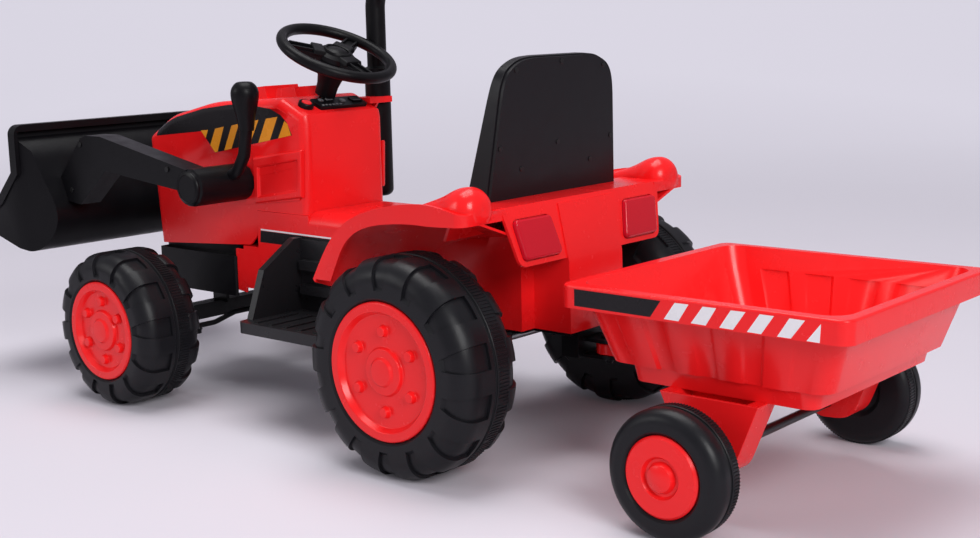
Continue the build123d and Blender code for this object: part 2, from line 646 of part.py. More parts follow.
# Knuckle: a steel fork round the beam's end, with the stub axle and the trailing steering arm
LUG_LOW, LUG_HIGH, LUG_T = 98.0, 128.2, 5.0
ARM_X = FRONT_AXLE[0] + ARM
with BuildPart() as knuckle_left:
    for low in (LUG_LOW, LUG_HIGH):
        with BuildSketch(Plane.XY.offset(low)):
            with Locations((FRONT_AXLE[0], -KINGPIN_Y)):
                Circle(12)
            with Locations((FRONT_AXLE[0], -KINGPIN_Y - 9)):
                Rectangle(24, 18)
            with Locations((FRONT_AXLE[0], -KINGPIN_Y)):
                Circle(5 + RUN, mode=Mode.SUBTRACT)
        extrude(amount=LUG_T)
    with Locations((FRONT_AXLE[0], -KINGPIN_Y - 15.5, (LUG_LOW + LUG_HIGH + LUG_T) / 2)):
        Box(24, 5, LUG_HIGH + LUG_T - LUG_LOW)
    with BuildSketch(side(-KINGPIN_Y - 17)):
        with Locations((FRONT_AXLE[0], FRONT_AXLE[2])):
            Circle(AXLE_R)
    extrude(amount=FRONT_FACE - 12 - KINGPIN_Y - 17)
    with BuildSketch(side(-FRONT_FACE + 25.5)):
        with Locations((FRONT_AXLE[0], FRONT_AXLE[2])):
            RegularPolygon(10, 6)
    extrude(amount=8)
    with BuildSketch(Plane.XY.offset(LUG_LOW)):
        with Locations(((FRONT_AXLE[0] + 10 + ARM_X) / 2, -KINGPIN_Y)):
            Rectangle(ARM - 10, 15)
        with Locations((ARM_X, -KINGPIN_Y)):
            Circle(9)
        with Locations((FRONT_AXLE[0], -KINGPIN_Y)):
            Circle(5 + RUN, mode=Mode.SUBTRACT)
    extrude(amount=LUG_T)
    with BuildSketch(Plane.XY.offset(LUG_LOW + LUG_T)):
        with Locations((ARM_X, -KINGPIN_Y)):
            Circle(3)
    extrude(amount=11)
save(knuckle_left, "knuckle_left")
save_right(knuckle_left, "knuckle_right")

# Tie rod: slotted eyes over the arms' pins, a rod raised in the middle, and a fork for the crank
EYE_LOW, EYE_T, ROD_R, ROD_Z, RISE = 104.0, 4.0, 4.0, 107.6, 117.0
with BuildPart() as tie_rod:
    with BuildSketch(Plane.XY.offset(EYE_LOW)):
        with Locations((ARM_X - 2.8, -KINGPIN_Y), (ARM_X - 2.8, KINGPIN_Y)):
            SlotOverall(28, 18)
            SlotOverall(14.4, 8, mode=Mode.SUBTRACT)
    extrude(amount=EYE_T)
    with BuildLine() as rod_path:
        FilletPolyline((ARM_X - 2.8, 6.5 - KINGPIN_Y, ROD_Z), (ARM_X - 2.8, -110, ROD_Z), (ARM_X - 2.8, -70, RISE),
                       (ARM_X - 2.8, 70, RISE), (ARM_X - 2.8, 110, ROD_Z), (ARM_X - 2.8, KINGPIN_Y - 6.5, ROD_Z),
                       radius=20)
    with BuildSketch(Plane(origin=rod_path.line @ 0, z_dir=rod_path.line % 0)):
        Circle(ROD_R)
    sweep()
    with BuildSketch(Plane.XY.offset(RISE - 4)):
        with Locations((sta(-496), 0)):
            Rectangle(70, 34)
        with Locations((sta(-485.5), 0)):
            SlotOverall(37, 12.4, mode=Mode.SUBTRACT)
    extrude(amount=6)
save(tie_rod, "tie_rod")

# Steering: shaft with a crank at its foot, and the wheel with its flared neck
SHAFT_END = 400.0
crank_corner = down_column(SHAFT_END)
crank_tip = crank_corner + STEER_BACK * CRANK
with BuildPart() as steering_shaft:
    with BuildLine() as shaft_path:
        FilletPolyline(down_column(12), crank_corner, crank_tip, crank_tip - STEER_UP * 25, radius=9)
    with BuildSketch(Plane(origin=shaft_path.line @ 0, z_dir=shaft_path.line % 0)):
        Circle(5)
    sweep()
save(steering_shaft, "steering_shaft")

RIM_R, RIM_TUBE = 83.0, 8.4
with BuildPart() as steering_wheel:
    with BuildSketch(Plane(origin=WHEEL_CENTRE, x_dir=STEER_BACK, z_dir=(0, -1, 0))):
        with Locations((RIM_R, 0)):
            Circle(RIM_TUBE)
    revolve(axis=Axis(WHEEL_CENTRE, STEER_UP))
    # Hub and neck
    with BuildSketch(Plane(origin=WHEEL_CENTRE, x_dir=STEER_BACK, z_dir=(0, -1, 0))):
        with BuildLine():
            Polyline((0, 2), (24, 2), (29, -2), (29, -13))
            Spline((29, -13), (17, -30), (13.5, -52), tangents=((-0.3, -1), (0, -1)))
            Polyline((13.5, -52), (13.5, -66), (0, -66), (0, 2))
        make_face()
    revolve(axis=Axis(WHEEL_CENTRE, STEER_UP))
    with BuildSketch(Plane(origin=WHEEL_CENTRE, x_dir=STEER_BACK, z_dir=STEER_UP).offset(-11)):
        with PolarLocations(0, 3):
            Polygon((20, -15), (RIM_R - 3, -9), (RIM_R - 3, 9), (20, 15), align=None)
    extrude(amount=9)
    with BuildSketch(steer_plane(12)):
        Circle(5)
    extrude(amount=-70, mode=Mode.SUBTRACT)
    with BuildSketch(steer_plane(-2)):
        Circle(16.3)
    extrude(amount=-5.5, mode=Mode.SUBTRACT)
save(steering_wheel, "steering_wheel")

with BuildPart() as horn_button:
    with BuildSketch(Plane(origin=WHEEL_CENTRE, x_dir=STEER_BACK, z_dir=(0, -1, 0))):
        with BuildLine():
            Polyline((0, -1), (16, -1), (16, 4))
            ThreePointArc((16, 4), (9, 6.3), (1.5, 7))
            Polyline((1.5, 7), (0, 7), (0, -1))
        make_face()
    revolve(axis=Axis(WHEEL_CENTRE, STEER_UP))
save(horn_button, "horn_button")

# Side steps: a ribbed back wall on the body, a footplate with a lip, and a gusset in front
STEP_FRONT, STEP_BACK, STEP_TOP = sta(-362), sta(-186), 146.0
STEP_OUT = 205.0
with BuildPart() as left_step:
    with Locations(((STEP_FRONT + STEP_BACK) / 2, -(BODY_HALF + STEP_OUT) / 2, STEP_TOP - 8)):
        Box(STEP_BACK - STEP_FRONT, STEP_OUT - BODY_HALF, 16)
    fillet(left_step.edges().filter_by(Axis.Z).group_by(Axis.Y)[0], 12)
    with Locations(((STEP_FRONT + STEP_BACK) / 2, -(BODY_HALF + STEP_OUT) / 2, STEP_TOP - 10)):
        Box(STEP_BACK - STEP_FRONT - 8, STEP_OUT - BODY_HALF - 8, 14, mode=Mode.SUBTRACT)
    with Locations((sta(-268), -BODY_HALF - 3, 197)):
        Box(164, 6, 106)
    with Locations((sta(-264), -BODY_HALF - 10, 178), (sta(-264), -BODY_HALF - 10, 214)):
        Box(156, 14, 14)
    with BuildSketch(Plane(origin=(STEP_FRONT, 0, 0), x_dir=(0, 1, 0), z_dir=(1, 0, 0))):
        Polygon((-BODY_HALF, STEP_TOP - 4), (-BODY_HALF, 252), (-BODY_HALF - 16, 252), (-160, 214),
                (-STEP_OUT + 18, STEP_TOP - 4), align=None)
    extrude(amount=12)
    # Grip bars across the footplate
    for bar in range(5):
        with Locations((sta(-330 + 30 * bar), -158, STEP_TOP + 1)):
            Box(8, 76, 2)
save(left_step, "left_step")

# The right step also carries the base of the accelerator pedal, hinged at its heel
PEDAL_HINGE = (sta(-222), 0, STEP_TOP + 13)
with BuildPart() as right_step:
    mirror(left_step.part, about=Plane.XZ)
    for y in (118, 186):
        with BuildSketch(side(y)):
            with BuildLine():
                Polyline((PEDAL_HINGE[0] - 9, STEP_TOP - 1), (PEDAL_HINGE[0] + 9, STEP_TOP - 1),
                         (PEDAL_HINGE[0] + 7, PEDAL_HINGE[2]))
                RadiusArc((PEDAL_HINGE[0] + 7, PEDAL_HINGE[2]), (PEDAL_HINGE[0] - 7, PEDAL_HINGE[2]), -7)
                Line((PEDAL_HINGE[0] - 7, PEDAL_HINGE[2]), (PEDAL_HINGE[0] - 9, STEP_TOP - 1))
            make_face()
        extrude(amount=6)
    with BuildSketch(side(186)):
        with Locations((PEDAL_HINGE[0], PEDAL_HINGE[2])):
            Circle(3)
    extrude(amount=74)
save(right_step, "right_step")

with BuildPart() as accelerator_pedal:
    with BuildSketch(side(179)):
        with BuildLine():
            Polyline((PEDAL_HINGE[0] + 6, PEDAL_HINGE[2] + 2), (sta(-300), STEP_TOP + 42),
                     (sta(-306), STEP_TOP + 40), (sta(-302), STEP_TOP + 34), (PEDAL_HINGE[0] - 5, PEDAL_HINGE[2] - 4))
            RadiusArc((PEDAL_HINGE[0] - 5, PEDAL_HINGE[2] - 4), (PEDAL_HINGE[0] + 6, PEDAL_HINGE[2] + 2), -6.4)
        make_face()
        with Locations((PEDAL_HINGE[0], PEDAL_HINGE[2])):
            Circle(3 + RUN, mode=Mode.SUBTRACT)
    extrude(amount=60)
save(accelerator_pedal, "accelerator_pedal")

# Seat: a low black base on the deck, and a two-piece backrest that leans back
SEAT_HALF = 98.0
with BuildPart() as seat_base:
    with BuildSketch(side(SEAT_HALF)):
        with BuildLine():
            Polyline((sta(-118), LEG_Z), (sta(12), LEG_Z), (sta(12), LEG_Z + 15), (sta(-30), LEG_Z + 11),
                     (sta(-100), LEG_Z + 14))
            RadiusArc((sta(-100), LEG_Z + 14), (sta(-118), LEG_Z), -16)
        make_face()
    extrude(amount=2 * SEAT_HALF)
    fillet(seat_base.edges().filter_by(Axis.Z), 18)
    fillet(seat_base.faces().sort_by(Axis.Z)[-1].edges(), 3)
    add(body_shell.part, mode=Mode.SUBTRACT)
save(seat_base, "seat_base")

BACK_LEAN, FRONT_LEAN = 4.5, 11.0
back_plane = Plane(origin=(sta(54), 0, 338), x_dir=(0, 1, 0),
                   z_dir=(cos(radians(BACK_LEAN)), 0, -sin(radians(BACK_LEAN))))
BACK_TALL = 178.0


def backrest_outline(inset):
    """Outline of the backrest on its own plane, narrower at the top, with round shoulders."""
    foot, waist, top = 135 - inset, 120 - inset, BACK_TALL - inset
    Line((-foot, -8 + inset), (foot, -8 + inset))
    Line((foot, -8 + inset), (waist, 118))
    Spline((waist, 118), (101 - 0.7 * inset, top - 13), (84 - 0.4 * inset, top - 5), (48, top - 1),
           tangents=((-0.14, 1), (-1, 0.05)))
    Line((48, top - 1), (-48, top - 1))
    Spline((-48, top - 1), (-84 + 0.4 * inset, top - 5), (-101 + 0.7 * inset, top - 13), (-waist, 118),
           tangents=((-1, -0.05), (-0.14, -1)))
    Line((-waist, 118), (-foot, -8 + inset))


SCREW_SPOTS = ((-92, 161), (92, 161), (0, 169), (-117, 64), (117, 64), (0, 64), (-73, 35), (73, 35))
with BuildPart() as backrest_rear_cover:
    with BuildSketch(back_plane.offset(-5)):
        with BuildLine():
            backrest_outline(2)
        make_face()
    extrude(amount=5)
    split(bisect_by=Plane.XY.offset(DECK_Z + 0.05), keep=Keep.TOP)
    with BuildSketch(back_plane.offset(-1.5)):
        with Locations(*SCREW_SPOTS):
            Circle(3.45)
    extrude(amount=1.5, mode=Mode.SUBTRACT)
save(backrest_rear_cover, "backrest_rear_cover")

with BuildPart() as backrest_front_shell:
    with BuildSketch(back_plane.offset(-5)):
        with BuildLine():
            backrest_outline(0)
        make_face()
    extrude(amount=-40)
    front_face = Plane(origin=(sta(18), 0, 345), x_dir=(0, 1, 0),
                       z_dir=(cos(radians(FRONT_LEAN)), 0, -sin(radians(FRONT_LEAN))))
    split(bisect_by=front_face, keep=Keep.TOP)
    split(bisect_by=Plane.XY.offset(DECK_Z + 0.05), keep=Keep.TOP)
save(backrest_front_shell, "backrest_front_shell")

with BuildPart() as backrest_screws:
    with BuildSketch(back_plane.offset(-1.5)):
        with Locations(*SCREW_SPOTS):
            Circle(3.4)
    extrude(amount=2.6)
save(backrest_screws, "backrest_screws")

# Drive: a gearbox and a motor beside each rear wheel
MOTOR = (sta(-45), 185.0)
with BuildPart() as gearbox_left:
    with BuildSketch(side(-140)):
        with Locations((REAR_AXLE[0], REAR_AXLE[2])):
            Circle(36)
        with Locations(MOTOR):
            Circle(21)
        make_hull()
        with Locations((REAR_AXLE[0], REAR_AXLE[2])):
            Circle(AXLE_R + RUN, mode=Mode.SUBTRACT)
    extrude(amount=27)
    fillet(gearbox_left.faces().sort_by(Axis.Y)[0].outer_wire().edges(), 4)
save(gearbox_left, "gearbox_left")
save_right(gearbox_left, "gearbox_right")

with BuildPart() as drive_motors:
    for hand in (-1, 1):
        for radius, near, far in ((14, BODY_HALF + 6, 140), (5, BODY_HALF, BODY_HALF + 6)):
            with BuildSketch(side(far if hand > 0 else -near)):
                with Locations(MOTOR):
                    Circle(radius)
            extrude(amount=far - near)
save(drive_motors, "drive_motors")

# Battery with its two terminals, standing on the pan
with BuildPart() as battery:
    with Locations((sta(-15), 0, PAN_TOP + 47)):
        Box(151, 65, 94)
    with Locations((sta(-78), 20, PAN_TOP + 97), (sta(-78), -20, PAN_TOP + 97)):
        Box(6, 8, 6)
    fillet(battery.edges().filter_by(Axis.Z).sort_by(Axis.Y)[-2:], 2)
save(battery, "battery")

# Loader: a shaft through the hood carries both arms, the bucket and the lever
DRUM_IN, DRUM_OUT, DRUM_R = HOOD_HALF + 3.0, 187.0, 27.0
ARM_IN = 150.0
with BuildPart() as loader_shaft:
    with BuildSketch(side(DRUM_OUT - 20)):
        with Locations((LOADER_PIVOT[0], LOADER_PIVOT[2])):
            Circle(7)
    extrude(amount=2 * (DRUM_OUT - 20))
save(loader_shaft, "loader_shaft")

# Bucket back in side view, which the arm ends are cut to
LIP_HALF = 240.0
TIP = (sta(-964), 246.0)
SHEET = 4.0


def bucket_back(inset):
    """Back and floor of the scoop in side view, from the top rim down to the cutting edge."""
    Polyline((sta(-852), 408), (sta(-846) - inset, 390 - 0.4 * inset), (sta(-818) - inset, 368 - 0.3 * inset))
    Spline((sta(-818) - inset, 368 - 0.3 * inset), (sta(-795) - inset, 310), (sta(-782) - inset, 266),
           (sta(-796) - 0.8 * inset, 228 + 0.6 * inset), (sta(-834), 208 + inset),
           tangents=((0.35, -1), (-1, 0.1)))


with BuildPart() as loader_arm_left:
    with BuildSketch(side(-DRUM_IN)):
        with Locations((LOADER_PIVOT[0], LOADER_PIVOT[2])):
            RegularPolygon(DRUM_R + 1.2, 12, rotation=15)
    extrude(amount=DRUM_OUT - DRUM_IN)
    chamfer(loader_arm_left.faces().sort_by(Axis.Y)[0].edges(), 5)
    with BuildSketch(side(-ARM_IN)):
        Polygon((sta(-482), 302), (sta(-500), 322), (sta(-680), 341), (sta(-752), 284), (sta(-787), 288),
                (sta(-801), 326), (sta(-742), 389), (sta(-726), 394), (sta(-690), 394), (sta(-482), 353.5), align=None)
    extrude(amount=DRUM_OUT - ARM_IN)
    with BuildSketch(side(-ARM_IN)):
        with Locations((LOADER_PIVOT[0], LOADER_PIVOT[2])):
            Circle(DRUM_R - 2)
    extrude(amount=DRUM_OUT - ARM_IN)
    with BuildSketch(side(-DRUM_IN + 1)):
        with Locations((LOADER_PIVOT[0], LOADER_PIVOT[2])):
            Circle(7 + 0.02)
    extrude(amount=DRUM_OUT - 20 - DRUM_IN + 1, mode=Mode.SUBTRACT)
    with BuildSketch(side(-ARM_IN + 1)):
        with BuildLine():
            bucket_back(0)
            Polyline((sta(-834), 208), (sta(-900), 208), (sta(-900), 408), (sta(-852), 408))
        make_face()
    extrude(amount=DRUM_OUT - ARM_IN + 2, mode=Mode.SUBTRACT)
save(loader_arm_left, "loader_arm_left")
save_right(loader_arm_left, "loader_arm_right")

# Lever: a bent rod that springs from the left drum, and its tapered grip
LEVER_Y, LEVER_X = -122.0, sta(-420)
with BuildPart() as lever_rod:
    with BuildLine() as lever_path:
        FilletPolyline((LOADER_PIVOT[0] + 20, LEVER_Y, 340), (sta(-443), LEVER_Y, 347), (sta(-426), LEVER_Y, 372),
                       (sta(-418), LEVER_Y, 412), radius=20)
    with BuildSketch(Plane(origin=lever_path.line @ 0, z_dir=lever_path.line % 0)):
        Circle(9)
    sweep()
    add(loader_arm_left.part, mode=Mode.SUBTRACT)
save(lever_rod, "lever_rod")

with BuildPart() as lever_grip:
    with BuildSketch(side(LEVER_Y)):
        with BuildLine():
            Polyline((sta(-418), 408), (sta(-407), 408), (sta(-405), 424))
            Spline((sta(-405), 424), (sta(-398.5), 452), (sta(-399.5), 470), (sta(-406), 477.5), (sta(-418), 479),
                   tangents=((0.2, 1), (-1, 0)))
            Line((sta(-418), 479), (sta(-418), 408))
        make_face()
    revolve(axis=Axis((sta(-418), LEVER_Y, 0), (0, 0, 1)))
    add(lever_rod.part, mode=Mode.SUBTRACT)
save(lever_grip, "lever_grip")

# Bucket: a drafted scoop with a curved back, its rim bead and its cutting edge
def bucket_wedge(start, inset):
    """Plan view wedge that gives an end wall its draft, cut off the straight sides."""
    return [(sta(-850), -LIP_HALF - 10 + inset), (sta(-850), -LIP_HALF + inset), (sta(start), -200 + inset),
            (sta(start), -LIP_HALF - 10 + inset)]


with BuildPart() as bucket:
    with BuildSketch(Plane.XZ):
        with BuildLine():
            bucket_back(0)
            Polyline((sta(-834), 208), (TIP[0], TIP[1] - 3), (TIP[0], TIP[1] + 3), (sta(-898), 286),
                     (sta(-851), 330), (sta(-852), 408))
        make_face()
    extrude(amount=LIP_HALF, both=True)
    for hand in (-1, 1):
        with BuildSketch(Plane.XY.offset(190)):
            Polygon(*[(x, -hand * y) for x, y in bucket_wedge(-757, 0)], align=None)
        extrude(amount=230, mode=Mode.SUBTRACT)
    with BuildSketch(Plane.XZ):
        with BuildLine():
            bucket_back(SHEET)
            Polyline((sta(-834), 208 + SHEET), (TIP[0] - 10, TIP[1] + 4.2), (TIP[0] - 10, 408), (sta(-852), 408))
        make_face()
    extrude(amount=LIP_HALF - SHEET - 31, both=True, mode=Mode.SUBTRACT)
    for hand in (-1, 1):
        with BuildSketch(Plane(origin=(0, hand * (LIP_HALF - SHEET - 31), 0), x_dir=(1, 0, 0), z_dir=(0, -hand, 0))):
            with BuildLine():
                Polyline((sta(-852), 404), (sta(-846) - SHEET, 388), (sta(-824), 362), (sta(-800), 310),
                         (sta(-792), 268), (sta(-806), 232), (sta(-836), 212), (TIP[0] - 10, TIP[1] + 4.2),
                         (TIP[0] - 10, 404), (sta(-852), 404))
            make_face()
        extrude(amount=-26, taper=22, mode=Mode.SUBTRACT)
    # Top rim bead
    with BuildSketch(Plane.XZ):
        Polygon((sta(-856), 399), (sta(-856), 410), (sta(-838), 410), (sta(-838), 399), align=None)
    extrude(amount=LIP_HALF, both=True)
    # Side beads along the front edge
    for hand in (-1, 1):
        with BuildSketch(side(LIP_HALF + 3 if hand > 0 else -LIP_HALF + 4)):
            Polygon((sta(-856), 410), (sta(-838), 410), (sta(-838), 332), (sta(-888), 282), (sta(-958), 244),
                    (TIP[0], TIP[1] - 2), (TIP[0], TIP[1] + 5), (sta(-901), 290), (sta(-856), 334), align=None)
        extrude(amount=7)
    # Round top corners of the rim
    with BuildSketch(Plane.YZ.offset(sta(-970))):
        with Locations((0, 410 - 150)):
            RectangleRounded(2 * LIP_HALF + 6, 300, 16)
    extrude(amount=200, mode=Mode.INTERSECT)
save(bucket, "bucket")

with BuildPart() as bucket_bolts:
    for y in (-DRUM_OUT - 2, ARM_IN):
        for x, z in ((sta(-772), 306), (sta(-742), 379), (sta(-524), 352)):
            with BuildSketch(side(y + 39 if y > 0 else y + 2)):
                with Locations((x, z)):
                    Circle(4)
            extrude(amount=2)
save(bucket_bolts, "bucket_bolts")

# Trailer tub: flanged rim, drafted walls with raised panels, and a stepped base
TUB_FRONT, TUB_BACK, TUB_HALF = sta(199.6), sta(570), 184.0
TUB_TOP, FLANGE, TUB_STEP, TUB_FLOOR = 256.7, 27.3, 165.0, 144.5
TUB_T = 3.5


def tub_ring(front, back, half, corner, bump):
    """Plan outline of the tub at one level: four raised panels on each long side."""
    panels = 4
    first, last = front + corner + 10, back - corner - 10
    pitch = (last - first) / panels
    path = [(front + corner, -half)]
    for index in range(panels):
        start = first + index * pitch
        path += [(start + 0.12 * pitch, -half), (start + 0.2 * pitch, -half - bump),
                 (start + 0.72 * pitch, -half - bump), (start + 0.8 * pitch, -half)]
    path += [(back - corner, -half)]
    near = path
    far = [(x, -y) for x, y in reversed(path)]
    slant = corner * (1 - cos(radians(45)))
    Polyline(*near)
    ThreePointArc(near[-1], (back - slant, -half + slant), (back, -half + corner))
    Line((back, -half + corner), (back, half - corner))
    ThreePointArc((back, half - corner), (back - slant, half - slant), far[0])
    Polyline(*far)
    ThreePointArc(far[-1], (front + slant, half - slant), (front, half - corner))
    Line((front, half - corner), (front, -half + corner))
    ThreePointArc((front, -half + corner), (front + slant, -half + slant), near[0])


def tub_level(z, inset, front, back, half, corner, bump):
    """Face of the tub at one level, moved inwards by the inset."""
    with BuildSketch(Plane.XY.offset(z)) as level:
        with BuildLine():
            tub_ring(front + inset, back - inset, half - inset, corner, bump)
        make_face()
    return level.sketch


BASIN_LOW = (sta(247), sta(531), 152, 22)
BASIN_HIGH = (sta(222), sta(552), 167, 24)
BASIN_RIM = (sta(213), sta(559), 174, 26)
with BuildPart() as tub:
    loft([tub_level(TUB_STEP, 0, *BASIN_LOW, 3), tub_level(TUB_TOP - FLANGE, 0, *BASIN_HIGH, 3)], ruled=True)
    with BuildSketch(Plane.XY.offset(TUB_FLOOR)):
        with Locations(((sta(278) + sta(512)) / 2, 0)):
            RectangleRounded(sta(512) - sta(278), 290, 16)
    extrude(amount=TUB_STEP - TUB_FLOOR, taper=-14)
    with BuildSketch(Plane.XY.offset(TUB_TOP)):
        with Locations(((TUB_FRONT + TUB_BACK) / 2, 0)):
            RectangleRounded(TUB_BACK - TUB_FRONT, 2 * TUB_HALF, 16)
    extrude(amount=-FLANGE)
    fillet(tub.faces().sort_by(Axis.Z)[-1].edges(), 3)
    # The flange is open below, round the walls
    with BuildSketch(Plane.XY.offset(TUB_TOP - FLANGE)):
        with Locations(((TUB_FRONT + TUB_BACK) / 2, 0)):
            RectangleRounded(TUB_BACK - TUB_FRONT - 2 * TUB_T, 2 * (TUB_HALF - TUB_T), 16 - TUB_T)
        add(tub_level(0, 0, *BASIN_RIM, 0), mode=Mode.SUBTRACT)
    extrude(amount=FLANGE - TUB_T - 3, mode=Mode.SUBTRACT)
    # Inside of the tub
    loft([tub_level(TUB_STEP + TUB_T, TUB_T, *BASIN_LOW, 3), tub_level(TUB_TOP - FLANGE, TUB_T, *BASIN_HIGH, 3)],
         ruled=True, mode=Mode.SUBTRACT)
    loft([tub_level(TUB_TOP - FLANGE, TUB_T, *BASIN_HIGH, 0), tub_level(TUB_TOP + 1, TUB_T, *BASIN_RIM, 0)],
         ruled=True, mode=Mode.SUBTRACT)
    with BuildSketch(Plane.XY.offset(TUB_FLOOR + TUB_T)):
        with Locations(((sta(278) + sta(512)) / 2, 0)):
            RectangleRounded(sta(512) - sta(278) - 6, 284, 14)
    extrude(amount=TUB_STEP - TUB_FLOOR, taper=-14, mode=Mode.SUBTRACT)
save(tub, "tub")

# Wedge brackets under the tub, with the axle through them
with BuildPart() as trailer_bracket_left:
    with BuildSketch(side(-125)):
        with BuildLine():
            Polyline((sta(329), TUB_FLOOR), (sta(456), TUB_FLOOR), (sta(430), 80))
            Spline((sta(430), 80), (sta(418), 62), (sta(389), 56), (sta(366), 66), tangents=((-0.4, -1), (-0.8, 1)))
            Line((sta(366), 66), (sta(329), TUB_FLOOR))
        make_face()
        with Locations((TRAILER_AXLE[0], TRAILER_AXLE[2])):
            Circle(AXLE_R + 0.03, mode=Mode.SUBTRACT)
    extrude(amount=41)
    with BuildSketch(side(-129)):
        with BuildLine():
            Polyline((sta(345), TUB_FLOOR + 1), (sta(440), TUB_FLOOR + 1), (sta(421), 96), (sta(365), 96),
                     (sta(345), TUB_FLOOR + 1))
        make_face()
    extrude(amount=33, mode=Mode.SUBTRACT)
save(trailer_bracket_left, "trailer_bracket_left")
save_right(trailer_bracket_left, "trailer_bracket_right")

with BuildPart() as trailer_axle:
    with BuildSketch(axle_plane(TRAILER_AXLE)):
        with BuildLine():
            Polyline((0, -245), (AXLE_R, -245), (AXLE_R, -235), (12, -235), (12, -226.5), (AXLE_R, -226.5),
                     (AXLE_R, -207), (10, -207), (10, -166.2), (AXLE_R, -166.2), (AXLE_R, 166.2), (10, 166.2),
                     (10, 207), (AXLE_R, 207), (AXLE_R, 226.5), (12, 226.5), (12, 235), (AXLE_R, 235),
                     (AXLE_R, 245), (0, 245), (0, -245))
        make_face()
    revolve(axis=y_axis(TRAILER_AXLE))
save(trailer_axle, "trailer_axle")

# Drawbar: a ribbed tongue under the tub with the hitch eye at its front
with BuildPart() as drawbar:
    with BuildSketch(Plane.XY.offset(129.6)):
        with Locations((HITCH_X, 0)):
            Circle(17)
        with Locations(((HITCH_X + sta(470)) / 2, 0)):
            Rectangle(sta(470) - HITCH_X, 30)
        with Locations((sta(400), 0)):
            Rectangle(100, 90)
        with Locations((HITCH_X, 0)):
            Circle(5 + RUN, mode=Mode.SUBTRACT)
    extrude(amount=TUB_FLOOR - 129.6)
save(drawbar, "drawbar")
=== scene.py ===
import json
import math
import bmesh
import bpy
from mathutils import Matrix, Vector


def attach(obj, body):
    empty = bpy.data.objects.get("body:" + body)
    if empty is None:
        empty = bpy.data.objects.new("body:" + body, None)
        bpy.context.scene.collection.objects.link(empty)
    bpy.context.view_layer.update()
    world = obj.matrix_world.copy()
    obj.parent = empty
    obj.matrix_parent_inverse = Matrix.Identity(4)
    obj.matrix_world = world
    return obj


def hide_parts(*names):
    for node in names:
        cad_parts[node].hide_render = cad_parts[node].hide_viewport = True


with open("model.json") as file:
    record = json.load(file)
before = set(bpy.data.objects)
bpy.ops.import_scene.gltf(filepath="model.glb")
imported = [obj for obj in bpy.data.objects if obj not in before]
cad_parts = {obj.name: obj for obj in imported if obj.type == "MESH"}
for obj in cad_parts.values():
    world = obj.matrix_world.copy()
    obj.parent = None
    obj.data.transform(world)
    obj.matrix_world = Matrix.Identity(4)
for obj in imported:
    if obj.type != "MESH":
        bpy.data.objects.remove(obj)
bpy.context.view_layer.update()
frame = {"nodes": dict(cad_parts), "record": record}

# The studio: a pale paper sweep that runs from the floor up into the backdrop, three large
# soft boxes on stands, and the camera where the photographer stood, behind the left rear wheel.
paper = bpy.data.materials.new("studio_paper")
paper.use_nodes = True
paper_nodes, paper_links = paper.node_tree.nodes, paper.node_tree.links
paper_shader = paper_nodes["Principled BSDF"]
paper_shader.inputs["Specular IOR Level"].default_value = 0.15
paper_shader.inputs["Roughness"].default_value = 0.75
paper_place = paper_nodes.new("ShaderNodeTexCoord")
paper_cloud = paper_nodes.new("ShaderNodeTexNoise")
paper_cloud.inputs["Scale"].default_value = 1.3
paper_links.new(paper_place.outputs["Object"], paper_cloud.inputs["Vector"])
paper_tone = paper_nodes.new("ShaderNodeMix")
paper_tone.data_type = "RGBA"
paper_tone.inputs["A"].default_value = (0.62, 0.59, 0.65, 1)
paper_tone.inputs["B"].default_value = (0.66, 0.625, 0.69, 1)
paper_links.new(paper_cloud.outputs["Fac"], paper_tone.inputs["Factor"])
paper_links.new(paper_tone.outputs["Result"], paper_shader.inputs["Base Color"])
# The far paper has its own lamps: it is lit evenly there, and only as the camera sees it.
far_glow = paper_nodes.new("ShaderNodeEmission")
far_glow.inputs["Color"].default_value = (0.82, 0.795, 0.90, 1)
far_reach = paper_nodes.new("ShaderNodeVectorMath")
far_reach.operation = "LENGTH"
paper_links.new(paper_place.outputs["Object"], far_reach.inputs[0])
far_share = paper_nodes.new("ShaderNodeMapRange")
for socket, amount in (("From Min", 0.9), ("From Max", 4.2), ("To Min", 0.02), ("To Max", 0.72)):
    far_share.inputs[socket].default_value = amount
paper_links.new(far_reach.outputs["Value"], far_share.inputs["Value"])
seen = paper_nodes.new("ShaderNodeLightPath")
far_seen = paper_nodes.new("ShaderNodeMath")
far_seen.operation = "MULTIPLY"
paper_links.new(far_share.outputs["Result"], far_seen.inputs[0])
paper_links.new(seen.outputs["Is Camera Ray"], far_seen.inputs[1])
paper_mix = paper_nodes.new("ShaderNodeMixShader")
paper_links.new(far_seen.outputs["Value"], paper_mix.inputs["Fac"])
paper_links.new(paper_shader.outputs["BSDF"], paper_mix.inputs[1])
paper_links.new(far_glow.outputs["Emission"], paper_mix.inputs[2])
paper_links.new(paper_mix.outputs["Shader"], paper_nodes["Material Output"].inputs["Surface"])


def new_corners(grown):
    """The corners that an extrusion has made."""
    return [part for part in grown["geom"] if isinstance(part, bmesh.types.BMVert)]


